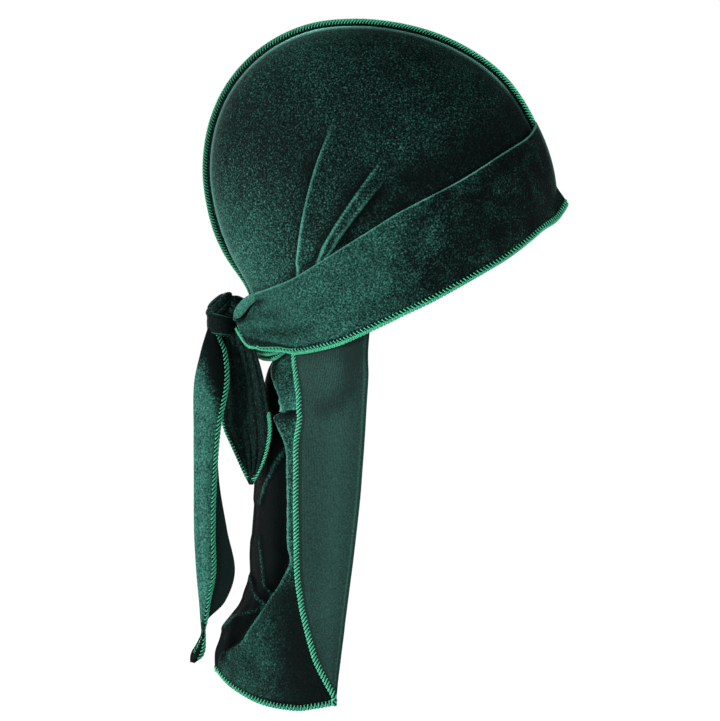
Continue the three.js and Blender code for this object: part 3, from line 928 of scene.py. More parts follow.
@dataclass
class Band:
    """The strap wrapped over the forehead and down to the knot, folded double at its top."""

    form: HeadForm
    cloth: float = 0.9
    fold_radius: float = 0.6
    return_length: float = 13.0
    bow: float = 1.5
    flare_share: float = 0.24
    across: int = 290
    along: int = 84
    outer_share: float = 0.74
    turn_share: float = 0.06
    swell: float = 1.25
    degree_height: float = 1.65
    front_shading: float = -1.3
    back_shading: float = -0.08
    front_rim_highlight: float = 4.6
    back_rim_highlight: float = 1.5
    rim_place: float = 0.3
    rim_width: float = 0.17
    roll_height: float = 0.7
    strip_depth: float = 1.4
    slit_shade: float = 1.5
    slit_relief: float = 1.3
    slit_width: float = 1.15
    slit_degrees: Pair = (1.4, 1.8)
    end_breadth: float = 1.8
    hem_lead: tuple[Triple, ...] = ((14.5, 69.6, -168.2), (16.6, 68.0, -173.0))
    flat: Pair = (620.0, 64.0)
    line: Table = Table(
        "round top hem top_lift lift flare",
        (0, 23.4, -5.4, 4.7, 5.7, 6),
        (10, 21.4, -10.6, 4.2, 4.8, 2.6),
        (20, 18.4, -14.6, 3.4, 3.6, 0.6),
        (40, 11.8, -26.9, 2.9, 2.7, 0),
        (64, -0.6, -40.5, 2.8, 2.4, 0),
        (82, -10, -47.5, 2.8, 2.4, 0),
        (96, -18.2, -51.6, 2.8, 2.4, 0),
        (112, -26.4, -54.9, 2.8, 2.4, 0),
        (128, -32.8, -56, 2.8, 2.4, 0),
        (140, -35.4, -55.8, 2.9, 2.6, 0),
        (148, -36.6, -53.7, 3, 4.2, 0),
        (158, -37.7, -50.4, 4, 10.2, 1.2),
        (163, -38.2, -48.4, 8, 14, 2.2),
        (168, -40.2, -43, 16, 16.6, 1.5),
    ).mirrored()
    columns: Table = Table(
        "share round",
        (0, -168), (0.13, -148), (0.3, -110), (0.5, 0), (0.7, 110), (0.87, 148), (1, 168),
    )
    border: Table = Table(
        "round share",
        (150, 0), (156, 0.02), (160.5, 0.07), (163.5, 0.13), (165.2, 0.26), (166.6, 0.5),
        (168, 0.8),
    )
    slit: tuple[Pair, ...] = (
        # degrees round and up, from the knot
        (166.4, -41.6), (163.5, -41.9), (161.7, -40.8), (160.7, -39.4), (157.0, -39.4),
        (151.0, -39.3), (146.0, -39.1),
    )
    creases: tuple[tuple[float, ...], ...] = (
        # at, start, end, depth, width
        (0.30, 118, 166, 1.0, 0.10),
        (0.62, 134, 166, 0.8, 0.09),
        (0.80, 148, 168, 1.2, 0.08),
    )

    def crease_depth(self, turn: Array, share: Array) -> Array:
        """Returns how far the creases draw the band in.

        Args:
            turn: degrees round from the front.
            share: shares of the way from the hem up to the fold.

        Returns:
            The depths, in millimetres.
        """
        depth = np.zeros_like(turn)
        for at, start, end, deep, width in self.creases:
            run = (turn - start) / (end - start)
            fade = smoothstep(run, 0, 0.3) * (1 - smoothstep(run, 0.85, 1))
            depth += deep * fade * bell(share - at, width)
        return depth

    def end_lift(self, turn: Array, share: Array) -> Array:
        """Returns the relief where the band gathers to the knot.

        Its body ends in a soft rolled border short of the serged edge, and a slit parts it from
        the tongue over it.

        Args:
            turn: degrees round from the front.
            share: shares of the way from the hem up to the fold.

        Returns:
            The relief, in millimetres.
        """
        near = smoothstep(turn, 128, 150)
        border = self.border.read("share", turn)
        strip = 1 - smoothstep(share, border - 0.05, border + 0.03)
        roll = bell(share - border - 0.07, 0.07)
        gathered = near * (self.roll_height * roll - self.strip_depth * strip)
        return gathered - self.slit_relief * self.slit_depth(turn, share)

    def slit_depth(self, turn: Array, share: Array) -> Array:
        """Returns how deep the slit under the tongue is, as a share.

        Args:
            turn: degrees round from the front.
            share: shares of the way from the hem up to the fold.

        Returns:
            The depths, 1 at the deepest.
        """
        up = lerp(self.line.read("hem", turn), self.line.read("top", turn), share)
        round_mm, up_mm = self.slit_degrees
        line = [(round_mm * x, up_mm * y) for x, y in self.slit]
        away, run = along_line(line, round_mm * turn, up_mm * up)
        open_share = lerp(1, 0.4, smoothstep(run, 0.15, 0.45)) * (1 - smoothstep(run, 0.8, 1))
        return bell(away, self.slit_width) * open_share

    def pile(self, across: Array, along: Array) -> dict[str, Array]:
        """Tells how the pile lies: smooth with painted light at the back, crushed with painted
        shade over the forehead.

        Args:
            across: shares across the sheet.
            along: shares along the sheet.

        Returns:
            The attributes' values, by name.
        """
        turn = np.abs(self.columns.read("round", across))
        share = np.clip(along / self.outer_share, 0, 1)
        # Painted shade over the forehead, fading to almost none at the back.
        nap = lerp(self.front_shading, self.back_shading, smoothstep(turn, 52, 100))
        # A painted highlight runs along the folded top edge's rim, most of all in front, with
        # painted shade inside the fold.
        rim = along - self.outer_share - self.rim_place * self.turn_share
        bright = lerp(self.front_rim_highlight, self.back_rim_highlight, smoothstep(turn, 30, 110))
        nap = nap + bright * bell(rim, self.rim_width * self.turn_share)
        nap = nap - 0.5 * smoothstep(along, 0.8, 0.84)
        height = (self.line.read("top", turn) - self.line.read("hem", turn)) * self.degree_height
        nap = nap + sewn_shade(share * height)
        # Painted shade where creases and the soft border fall, and painted light where they rise.
        relief = self.end_lift(turn, share) - self.crease_depth(turn, share)
        nap = nap + np.where(relief < 0, 0.5, 0.3) * relief
        # A painted highlight along the rolled border.
        edge = share - self.border.read("share", turn)
        nap = nap + 0.9 * bell(edge - 0.03, 0.03) * smoothstep(turn, 154, 160)
        # Painted shade along the slit under the tongue.
        nap = nap - self.slit_shade * self.slit_depth(turn, share)
        return {"nap": nap, "crush": 1 - smoothstep(turn, 60, 115),
                "calm": 0.4 * smoothstep(turn, 112, 145)}

    def law(self, across: Array, along: Array) -> Array:
        """Bends the band: from its hem up to the fold, over it and a little way down inside.

        Args:
            across: shares across the sheet.
            along: shares along the sheet.

        Returns:
            The places, in millimetres.
        """
        signed = self.columns.read("round", across)
        turn = np.abs(signed)
        top = self.line.read("top", turn)
        hem = self.line.read("hem", turn)
        degree = math.radians(1) * self.form.half_width * self.swell
        tuck = self.fold_radius / degree
        turning = np.clip((along - self.outer_share) / self.turn_share, 0, 1)
        inner = np.clip((along - self.outer_share - self.turn_share)
                        / (1 - self.outer_share - self.turn_share), 0, 1)
        share = np.clip(along / self.outer_share, 0, 1)
        room = smoothstep(top - hem, 4, 16)
        up = lerp(hem, top - tuck, share) + tuck * np.sin(math.pi * turning)
        up = up - inner * self.return_length / degree * room
        lift = lerp(self.line.read("lift", turn), self.line.read("top_lift", turn), share**self.bow)
        lift = lift + self.line.read("flare", turn) * (1 - smoothstep(share, 0, self.flare_share))
        lift = lift - self.crease_depth(turn, share) + self.end_lift(turn, share)
        lift = lift - self.cloth / 2
        lift = lift - self.fold_radius * (1 - np.cos(math.pi * turning))
        return self.form.point(signed, up, lift)

    def build(self, wardrobe: Wardrobe, overlock: Overlock) -> None:
        """Builds the band and sews its hem.

        Args:
            wardrobe: the durag's finishes.
            overlock: the stitch that sews its edges.
        """
        band = bent_grid("band_velvet", self.across, self.along, self.law, self.flat,
                         flipped=True, pile=self.pile)
        thicken(band, self.cloth)
        dress(band, Slot.VELVET, wardrobe.velvet, wardrobe.knit)
        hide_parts("wrap_band")
        run = np.linspace(0.002, 0.998, 900)
        edge = Edge.of(self.law, run, np.zeros_like(run), (0, 0.02), flipped=True)
        turns = np.abs(self.columns.read("round", run))
        edge.breadth = lerp(overlock.width, self.end_breadth, smoothstep(turns, 153, 161))
        edge = edge.led_in(*self.hem_lead)
        hem = overlock.sew("band_serging", [edge], wardrobe.thread)


@dataclass
class Tongue:
    """The upper part of the band at one end, gathered to a soft tongue that enters the knot."""

    name: str
    side: int
    line: Table = Table(
        "share right back height half",
        (0, 33.0, 50.0, -153.0, 0.8), (0.25, 31.4, 56.5, -154.8, 2.1),
        (0.5, 28.9, 62.4, -158.0, 2.8), (0.75, 26.1, 67.0, -163.0, 3.0),
        (1, 22.0, 70.8, -168.2, 2.5),
    )
    outward: Triple = (-0.93, 0.37, 0.0)
    thickness: float = 1.7
    nap: float = 0.55
    rim_highlight: float = 0.85
    boxy: float = 2.2
    round_end: float = 0.2
    around: int = 40
    along: int = 60
    flat: Pair = (24.0, 26.0)

    def spine(self, along: Array) -> Array:
        """Returns the middle line of the tongue on the wearer's right."""
        return np.stack([-self.line.read("right", along), self.line.read("back", along),
                         self.line.read("height", along)], -1)

    def law(self, around: Array, along: Array) -> Array:
        """Bends the tongue: a flat soft tube that rounds off to its tip.

        Args:
            around: shares round the tube.
            along: shares from root to tip.

        Returns:
            The places, in millimetres.
        """
        roll = 2 * math.pi * around
        wide = signed_power(np.cos(roll), 2 / self.boxy)
        thick = signed_power(np.sin(roll), 2 / self.boxy)
        tip = np.clip((along - 1 + self.round_end) / self.round_end, 0, 1)
        close = np.sqrt(np.maximum(1 - tip**2, 0)) * smoothstep(along, -0.05, 0.12)
        tangent = unit(self.spine(along + 0.01) - self.spine(along - 0.01))
        breadth = unit(np.cross(tangent, self.outward))
        depth = unit(np.cross(breadth, tangent))
        places = (self.spine(along)
                  + breadth * (wide * close * self.line.read("half", along))[:, None]
                  + depth * (thick * close * self.thickness)[:, None])
        places[:, 0] *= self.side
        return places

    def pile(self, around: Array, along: Array) -> dict[str, Array]:
        """Tells how the pile lies: painted light over the tongue, most of all as a highlight on its
        rim.
        """
        rim = np.abs(np.cos(2 * math.pi * around)) ** 6
        return {"nap": self.nap + self.rim_highlight * rim, "crush": np.zeros_like(rim)}

    def build(self, wardrobe: Wardrobe) -> None:
        """Builds the tongue.

        Args:
            wardrobe: the durag's finishes.
        """
        tongue = bent_grid(self.name, self.around, self.along, self.law, self.flat, joined=0.02,
                           closed=True, pile=self.pile)
        dress(tongue, Slot.VELVET, wardrobe.velvet)


# ------------------------------------------------------------------ crown


@dataclass
class Pleat:
    """One tension pleat of the crown, from its upper end down to the band.

    One of its two flanks is steep, with a hollow at its foot, and the other dies away gently.
    """

    upper: Pair
    lower: Pair
    height: float
    front: float
    back: float
    hollow: float = 0.3
    hollow_width: float = 8.0
    gentle: float = 5.0
    full: float = 0.3
    crest_highlight: float = 1.9
    hollow_shade: float = 1.3

    def flank(self, distance: Array, width: float) -> Array:
        """Returns the profile of one flank, 1 at the crest.

        Args:
            distance: how far from the crest.
            width: how wide the flank is.

        Returns:
            The share of the pleat's height.
        """
        if width > self.gentle:
            return np.exp(-distance / width)
        fallen = smoothstep(distance, 0, width)
        return 1 - fallen - self.hollow * fallen * np.exp(-(distance - width) / self.hollow_width)

    def run(self, up: Array) -> Array:
        """Returns the share of the pleat's length that lies above a height."""
        return (self.upper[1] - up) / (self.upper[1] - self.lower[1])

    def aside(self, turn: Array, up: Array, breadth: float) -> Array:
        """Returns how many millimetres behind the crest a place lies."""
        middle = lerp(self.upper[0], self.lower[0], self.run(up))
        return np.radians(turn - middle) * np.cos(np.radians(up)) * breadth

    def grown(self, up: Array) -> Array:
        """Returns the share of its height that the pleat has at a height."""
        return smoothstep(self.run(up), 0, self.full)

    def lift(self, turn: Array, up: Array, breadth: float) -> Array:
        """Returns how far the pleat stands off the form.

        Args:
            turn: degrees round from the front.
            up: degrees up from the form's centre.
            breadth: how far out the pleat lies, in millimetres.

        Returns:
            The lift, in millimetres.
        """
        aside = self.aside(turn, up, breadth)
        shape = np.where(aside < 0, self.flank(-aside, self.front), self.flank(aside, self.back))
        return self.height * self.grown(up) * shape

    def nap(self, turn: Array, up: Array, breadth: float) -> Array:
        """Returns the painted highlight along the crest and the painted shade in the hollow.

        Args:
            turn: degrees round from the front.
            up: degrees up from the form's centre.
            breadth: how far out the pleat lies, in millimetres.

        Returns:
            What the pleat adds to the painted light and shade.
        """
        aside = self.aside(turn, up, breadth)
        steep = aside if self.back < self.front else -aside
        crest = self.crest_highlight * bell(aside, 0.75)
        hollow = self.hollow_shade * smoothstep(steep, 0.4, 1.6) * np.exp(-np.maximum(steep, 0) / 5)
        return crest * self.grown(up) ** 0.5 - hollow * self.grown(up)


@dataclass
class Crown:
    """Two panels of stretch velvet that meet in a serged seam standing outside the crown."""

    form: HeadForm
    band: Band
    wall: float = 1.6
    gap: float = 0.4
    tuck: float = 9.0
    hidden: float = 0.1
    crowding: float = 1.3
    across: int = 230
    along: int = 110
    flat: Pair = (290.0, 160.0)
    seam_start: float = 21.5
    seam_end: float = 221.0
    seam_height: float = 4.3
    seam_taper: float = 0.7
    seam_breadth: float = 3.5
    seam_flat: Pair = (320.0, 5.0)
    seam_across: int = 320
    seam_along: int = 6
    seam_wall: float = 0.5
    front_shading: float = -0.95
    back_shading: float = 0.05
    top_light: float = 0.5
    half_way_shade: float = 0.3
    centre_highlight: float = 0.6
    strip_shade: float = 0.55
    band_shadow: float = 0.5
    pressed: Pair = (0.15, 0.85)
    columns: Table = Table("share round", (0, 0), (0.2, 80), (0.76, 132), (1, 180))
    pleats: tuple[Pleat, ...] = (
        Pleat((110.2, 29), (128.5, -34), height=3.4, front=15, back=1.4, full=0.36),
        Pleat((88, 14), (119, -30), height=2.4, front=16, back=1.3),
        Pleat((88, 5), (115, -28), height=2.2, front=1.3, back=10, hollow=0.5),
    )

    def pleat_lift(self, turn: Array, up: Array) -> Array:
        """Returns how far the pleats push the crown out. The band presses them flat.

        Args:
            turn: degrees round from the front.
            up: degrees up from the form's centre.

        Returns:
            The lift, in millimetres.
        """
        fold = self.band.line.read("top", turn)
        lift = sum(pleat.lift(turn, up, self.form.half_width) for pleat in self.pleats)
        under, over = self.pressed
        return lift * (under * smoothstep(up, fold - 2, fold + 1)
                       + over * smoothstep(up, fold + 1, fold + 5))

    def pile(self, across: Array, along: Array) -> dict[str, Array]:
        """Tells how the pile lies: painted light low at the back, painted shade high at the front.

        Args:
            across: shares across the sheet.
            along: shares along the sheet.

        Returns:
            The attributes' values, by name.
        """
        turn, up = self.place(across, along)
        fold = self.band.line.read("top", turn)
        # Painted shade high at the front, giving way to painted light low at the back.
        nap = lerp(self.front_shading, self.back_shading, smoothstep(0.55 * (turn - 100) - up, -5, 80))
        # Behind, painted light over the top and a painted highlight along the centre seam, and
        # painted shade half way down.
        nap = nap + self.top_light * smoothstep(up, 32, 60) * smoothstep(turn, 95, 140)
        nap = nap - self.half_way_shade * bell(up - 16, 18) * smoothstep(turn, 108, 140)
        places = self.form.point(turn, up, np.zeros_like(up))
        behind = smoothstep(places[:, 1], -20, 30)
        nap = nap + self.centre_highlight * behind * (1 - smoothstep(np.abs(places[:, 0]), 4, 9))
        # In front, painted shade in a strip above the band, and a painted shadow just above the
        # band all round.
        nap = nap - self.strip_shade * bell(up - fold - 8, 10) * smoothstep(turn, 106, 74)
        nap = nap + sum(pleat.nap(turn, up, self.form.half_width) for pleat in self.pleats)
        nap = nap - self.band_shadow * np.exp(-np.maximum(up - fold, 0) / 1.6)
        crushed = bell(turn - 104, 24) * bell(up - fold - 12, 20)
        return {"nap": nap, "crush": 0.2 * smoothstep(turn, 120, 70) + 0.6 * crushed}

    def place(self, across: Array, along: Array) -> tuple[Array, Array]:
        """Returns the degrees round and up of a place on a panel.

        Args:
            across: shares across the sheet.
            along: shares along the sheet.

        Returns:
            The degrees round and the degrees up.
        """
        turn = self.columns.read("round", across)
        fold = self.band.line.read("top", turn)
        tucked = lerp(fold - self.tuck, fold + 1, along / self.hidden)
        share = np.clip((along - self.hidden) / (1 - self.hidden), 0, 1)
        opened = lerp(fold + 1, 90.0, share**self.crowding)
        return turn, np.where(along <= self.hidden, tucked, opened)

    def panel_law(self, side: int, across: Array, along: Array) -> Array:
        """Bends one panel, from the seam round the side and from the band up.

        Args:
            side: 1 for the wearer's right and -1 for the left.
            across: shares across the sheet.
            along: shares along the sheet.

        Returns:
            The places, in millimetres.
        """
        turn, up = self.place(across, along)
        places = self.form.point(turn, up, self.pleat_lift(turn, up) - self.wall / 2)
        places[:, 0] = (places[:, 0] - self.gap / 2) * side
        return places

    def seam_law(self, side: int, across: Array, along: Array) -> Array:
        """Bends one panel's seam allowance, which stands up along the centre.

        Args:
            side: as for a panel, or 0 for the middle between both.
            across: shares across the sheet.
            along: shares along the sheet.

        Returns:
            The places, in millimetres.
        """
        angle = np.radians(lerp(self.seam_start, self.seam_end, across))
        way = np.stack([np.zeros_like(angle), -np.cos(angle), np.sin(angle)], -1)
        taper = 1 - self.seam_taper * smoothstep(across, 0.86, 0.99)
        rise = lerp(-1.2, self.seam_height * taper, along)
        places = way * (self.form.radius(way) + rise)[:, None] + np.array(self.form.centre)
        places[:, 0] = side * (0.35 + 0.5 * (1 - smoothstep(along, 0, 0.35)))
        return places

    def build(self, wardrobe: Wardrobe, overlock: Overlock) -> None:
        """Builds both panels, their seam allowances and the overlock along them.

        Args:
            wardrobe: the durag's finishes.
            overlock: the stitch that sews its edges.
        """
        for side, name in ((1, "right"), (-1, "left")):
            panel = bent_grid(f"crown_{name}_velvet", self.across, self.along,
                              partial(self.panel_law, side), self.flat, flipped=side == 1,
                              joined=0.002, pile=self.pile)
            thicken(panel, self.wall)
            dress(panel, Slot.VELVET, wardrobe.velvet, wardrobe.knit)
            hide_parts(f"crown_panel_{name}")
            allowance = bent_grid(f"seam_allowance_{name}", self.seam_across, self.seam_along,
                                  partial(self.seam_law, side), self.seam_flat, flipped=side == -1)
            thicken(allowance, self.seam_wall)
            # The darker copy of the velvet gives the seam allowances painted shade.
            dress(allowance, Slot.VELVET, wardrobe.shaded, wardrobe.shaded)
        run = np.linspace(0, 1, 800)
        edge = Edge.of(partial(self.seam_law, 0), run, np.full_like(run, 0.97), (0, -0.05))
        edge.breadth = lerp(self.seam_breadth, overlock.width, smoothstep(run, 0.3, 0.75))
        # The seam's thread is painted brighter towards the front.
        seam = overlock.sew("seam_serging", [edge], wardrobe.seam_thread)
        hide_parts("crown_seam")


# ------------------------------------------------------------------ inner turns at the nape


@dataclass
class NapeStrap:
    """An inner turn of the strap, whose serged edge shows under the band at the nape."""

    name: str
    form: HeadForm
    table: Table
    rise: float = 7.0
    cloth: float = 0.9
    nap: float = -1.7
    across: int = 90
    along: int = 14
    flat: Pair = (80.0, 16.0)

    def law(self, across: Array, along: Array) -> Array:
        """Bends the strap from the right round the back to the left.

        Args:
            across: shares across the sheet.
            along: shares along the sheet.

        Returns:
            The places, in millimetres.
        """
        start = self.table.rows[0, 0]
        turn = lerp(start, 360 - start, across)
        near = np.minimum(turn, 360 - turn)
        up = self.table.read("hem", near) + along * self.rise
        return self.form.point(turn, up, self.table.read("lift", near) - self.cloth / 2)

    def pile(self, across: Array, along: Array) -> dict[str, Array]:
        """Tells how the pile lies: painted shade, where the strap lies under the band."""
        return {"nap": np.full_like(across, self.nap), "crush": np.zeros_like(across)}

    def build(self, wardrobe: Wardrobe, overlock: Overlock) -> None:
        """Builds the strap and sews its hem.

        Args:
            wardrobe: the durag's finishes.
            overlock: the stitch that sews its edges.
        """
        strap = bent_grid(f"{self.name}_velvet", self.across, self.along, self.law, self.flat,
                          flipped=True, pile=self.pile)
        thicken(strap, self.cloth)
        dress(strap, Slot.VELVET, wardrobe.velvet, wardrobe.knit)
        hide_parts(self.name)
        run = np.linspace(0, 1, 200)
        edge = Edge.of(self.law, run, np.zeros_like(run), (0, 0.05), flipped=True)
        hem = overlock.sew(f"{self.name}_serging", [edge], wardrobe.thread)


# ------------------------------------------------------------------ cape


@dataclass(frozen=True)
class Tuck:
    """A small fold of the cape along a line drawn in its side view, back and height.

    The cloth on the left of the line's way lies over the cloth on its right.
    """

    line: tuple[Pair, ...]
    height: float
    lit: float = 1.6
    lit_width: float = 4.0
    glow: float = 0.0
    shade: float = 1.2
    reach: float = 9.0

    def profile(self, away: Array) -> Array:
        """Returns the share of its height at a distance to the right of the line.

        Args:
            away: distances to the right of the line.

        Returns:
            The shares.
        """
        fallen = smoothstep(away, 0, 1.2)
        return np.where(away < 0, np.exp(np.minimum(away, 0) / self.reach),
                        1 - fallen - 0.25 * fallen * np.exp(-np.maximum(away, 0) / 6))

    def nap(self, away: Array) -> Array:
        """Returns the painted highlight and glow along the line and the painted shade beside it.

        Args:
            away: distances to the right of the line.

        Returns:
            What the tuck adds to the nap.
        """
        glow = self.glow * np.where(away < 0, np.exp(away / 12), 0)
        lit = self.lit * bell(away + 0.4, 0.75) + glow
        return lit - self.shade * np.where(away > 0.4, np.exp(-(away - 0.4) / self.lit_width), 0)


@dataclass
class Cape:
    """The long cape at the nape. Its right edge is turned back and shows the wrong side."""

    squareness: float = 1.8
    cloth: float = 0.9
    flap_radius: float = 1.5
    top: float = -158.0
    top_dip: float = 12.0
    flap_share: float = 0.2
    turn_share: float = 0.03
    across: int = 240
    along: int = 188
    flat: Pair = (240.0, 232.0)
    plan: Table = Table(
        "height front back side flap_edge",
        (-158, -6, 49, 54, 32), (-175, -5.4, 48.6, 54, 34), (-186, -4.6, 46, 53.4, 34.4),
        (-193, -4.6, 49, 53, 34.6), (-200, -4.8, 52, 53, 33.8), (-217, -3.8, 55.4, 52, 31.2),
        (-236, -2.7, 57, 50.5, 32.2), (-254, -1.4, 57.5, 49.2, 32.2), (-272, 0, 58, 48, 32.4),
        (-306, 3.8, 60.5, 45, 32.1), (-321.5, 5.8, 60.6, 43.8, 31.9),
        (-328.6, 6.7, 63.4, 43.3, 31.7), (-335.6, 7.6, 66, 42.7, 31.2),
        (-342.6, 8.5, 71, 42, 30), (-350, 9.3, 76.6, 41.4, 28.4), (-357, 10.2, 78.8, 40.8, 26.6),
        (-366, 11.3, 81.8, 40, 24), (-377, 12.6, 81.4, 39, 18.8), (-388, 13.6, 78.6, 38, 13),
    )
    hem: Table = Table(
        "along height",
        (0, -391), (0.06, -393), (0.12, -394.5), (0.24, -391.5), (0.37, -383), (0.44, -377.5),
        (0.5, -375.5), (0.56, -377.5), (0.63, -383), (0.76, -390), (0.9, -392), (1, -384),
    )
    ridge: Table = Table(
        "height reach out fall",
        (-192, 0.99, 0, 0), (-200, 0.935, 1.5, 2), (-206, 0.86, 3, 4), (-213, 0.79, 3.5, 5),
        (-221, 0.727, 3.5, 5), (-225, 0.81, 3.5, 5), (-229, 0.79, 3.5, 5), (-236, 0.722, 4, 6),
        (-244, 0.673, 4.5, 7), (-261, 0.654, 4.5, 7), (-278, 0.634, 4.5, 7), (-299, 0.596, 5, 8),
        (-308, 0.56, 5, 8), (-320, 0.634, 5.5, 8), (-335, 0.725, 5.5, 7), (-350, 0.764, 4, 5),
        (-356, 0.80, 3, 4), (-360, 0.86, 2, 2), (-364, 0.94, 1, 1), (-382, 1, 0, 0),
    )
    ridge_gentle: float = 0.09
    ridge_steep: float = 0.009
    ridge_start: float = 0.12
    fall_behind: float = 0.05
    fall_width: float = 0.035
    folds: Table = Table(
        "top hem out width",
        (0.5, 0.49, 1.5, 0.025), (0.6, 0.6, -4, 0.045), (0.7, 0.7, 4.5, 0.055),
        (0.82, 0.81, -3.5, 0.05),
    )
    tucks: tuple[Tuck, ...] = ()
    fall_shade: float = -2.2
    most_light: float = 2.5
    crest_highlight: float = 1.7
    low_shade: float = 1.1
    left_light: float = 1.25
    flap_shading: float = -0.65
    flap_fall_shade: float = 0.75
    thread_over: float = 0.4
    flap_fall: tuple[Pair, ...] = (
        (2.5, -188.0), (4.0, -206.0), (10.8, -216.0), (20.0, -222.0), (27.0, -229.0),
    )
    folds_top: float = -198.0
    folds_full: float = -260.0
    folds_hem: float = -390.0

    def curve(self, along: Array, height: Array, outward: Array) -> Array:
        """Follows the cape's plan from the right fold over the back to the left edge.

        Args:
            along: shares round the nape from the right.
            height: heights, in millimetres.
            outward: how far outside the plan, in millimetres.

        Returns:
            The places, in millimetres.
        """
        front = self.plan.read("front", height)
        depth = self.plan.read("back", height) - front
        side = self.plan.read("side", height)
        turn = math.pi * np.clip(along, 0, 1)
        bend = 2 / self.squareness
        across = -signed_power(np.cos(turn), bend)
        reach = np.abs(np.sin(turn)) ** bend
        tilt = self.squareness - 1
        normal = unit(np.stack([
            signed_power(across, tilt) / side,
            reach**tilt / depth,
            np.zeros_like(side),
        ], -1))
        plain = np.stack([across * side, front + reach * depth, height], -1)
        return plain + normal * outward[:, None]

    def along_for(self, reach: Array) -> Array:
        """Returns the share of the width at which the plan has come a share of the way back."""
        return np.arcsin(np.clip(reach, 0, 1) ** (self.squareness / 2)) / math.pi

    def fold_out(self, along: Array, height: Array) -> Array:
        """Returns how far the folds push the cape out.

        Args:
            along: shares round the nape from the right.
            height: heights, in millimetres.

        Returns:
            The distances, in millimetres.
        """
        behind = along - self.along_for(self.ridge.read("reach", height))
        width = np.where(behind < 0, self.ridge_gentle, self.ridge_steep)
        out = self.ridge.read("out", height) * np.exp(-((behind / width) ** 2))
        out = out * smoothstep(along, 0, self.ridge_start)
        out = out - (self.ridge.read("fall", height)
                     * bell(behind - self.fall_behind, self.fall_width)
                     * smoothstep(behind, 0, self.ridge_steep))
        opened = 1 - smoothstep(height, self.folds_full, self.folds_top)
        drop = (self.folds_top - height) / (self.folds_top - self.folds_hem)
        for top, hem, fold, wide in self.folds.rows:
            out = out + fold * opened * bell(along - lerp(top, hem, drop), wide)
        return out

    def drape_place(self, across: Array, along: Array) -> tuple[Array, Array]:
        """Returns the share round the nape and the height of a place of the sheet.

        Args:
            across: shares across the sheet.
            along: shares along the sheet.

        Returns:
            The shares round the nape from the right, and the heights.
        """
        drape_from = self.flap_share + self.turn_share
        width = np.clip((across - drape_from) / (1 - drape_from), 0, 1)
        upper = self.top - self.top_dip * np.sin(math.pi * width)
        return width, lerp(self.hem.read("height", width), upper, along)

    def side_place(self, along: Array, height: Array) -> tuple[Array, Array]:
        """Returns how far back and how high the unfolded plan lies."""
        places = self.curve(along, height, np.zeros_like(height))
        return places[:, 1], places[:, 2]

    def tuck_out(self, along: Array, height: Array) -> Array:
        """Returns the relief of the cape's small tucks on its right side.

        Args:
            along: shares round the nape from the right.
            height: heights, in millimetres.

        Returns:
            The relief, in millimetres.
        """
        back, up = self.side_place(along, height)
        right = 1 - smoothstep(along, 0.48, 0.54)
        out = np.zeros_like(height)
        for tuck in self.tucks:
            away, share = along_line(tuck.line, back, up)
            fade = smoothstep(share, 0, 0.12) * (1 - smoothstep(share, 0.9, 1))
            out = out + tuck.height * fade * tuck.profile(away)
        return out * right

    def pile(self, across: Array, along: Array) -> dict[str, Array]:
        """Tells how the pile lies: painted shade in the falls, and painted light on the ridge and
        low on the right.

        Args:
            across: shares across the sheet.
            along: shares along the sheet.

        Returns:
            The attributes' values, by name.
        """
        width, height = self.drape_place(across, along)
        behind = width - self.along_for(self.ridge.read("reach", height))
        back, up = self.side_place(width, height)
        # Painted light in front of the ridge, and black painted shade behind it, where the cape
        # falls in.
        low = smoothstep(height, -300, -335)
        soft = 0.06 * smoothstep(height, -352, -366)
        before = smoothstep(behind, 0.012 + soft, -0.004 - soft)
        nap = self.fall_shade + before * lerp(1.85, 1.65, low)
        # A painted highlight on the ridge's crest. Low down, painted shade towards the front fold.
        crest = smoothstep(height, -370, -345) * lerp(0.5, 1, smoothstep(height, -200, -226))
        nap = nap + self.crest_highlight * crest * bell(behind + 0.001, 0.005)
        nap = nap - self.low_shade * before * (1 - smoothstep(back, 34, 58)) * low
        for tuck in self.tucks:
            away, share = along_line(tuck.line, back, up)
            fade = smoothstep(share, 0, 0.1) * (1 - smoothstep(share, 0.9, 1))
            nap = nap + tuck.nap(away) * fade * (1 - smoothstep(width, 0.5, 0.56))
        hem_distance = height - self.hem.read("height", width)
        nap = np.clip(nap, self.fall_shade, self.most_light)
        # Painted light on the left part, and painted shade beside the hem's overlock.
        nap = nap + self.left_light * smoothstep(width, 0.56, 0.74) + sewn_shade(hem_distance)
        # The flap shows the wrong side, with painted light in its middle and along the front fold,
        # and painted shade where it falls, at its top and low down.
        flap = across / self.flap_share
        place = self.flap_place(across, height)
        knit = (self.flap_shading + 0.3 * bell(flap - 0.62, 0.22) + 1.1 * bell(flap - 0.99, 0.018)
                - 0.5 * smoothstep(height, -196, -186) - 0.25 * smoothstep(height, -330, -375))
        shade, share = along_line(self.flap_fall, place, height)
        knit = knit - self.flap_fall_shade * bell(shade, 5.5) * (1 - smoothstep(share, 0.6, 1))
        knit = knit + sewn_shade(self.plan.read("flap_edge", height) - place + self.thread_over)
        on_drape = across >= self.flap_share + self.turn_share
        return {"nap": np.where(on_drape, nap, knit), "crush": np.full_like(nap, 0.3),
                "calm": 0.35 * low * before}

    def flap_place(self, across: Array, height: Array) -> Array:
        """Returns how far back a place on the flap lies."""
        front, edge = self.plan.read("front", height), self.plan.read("flap_edge", height)
        return lerp(edge, front, np.clip(across / self.flap_share, 0, 1))

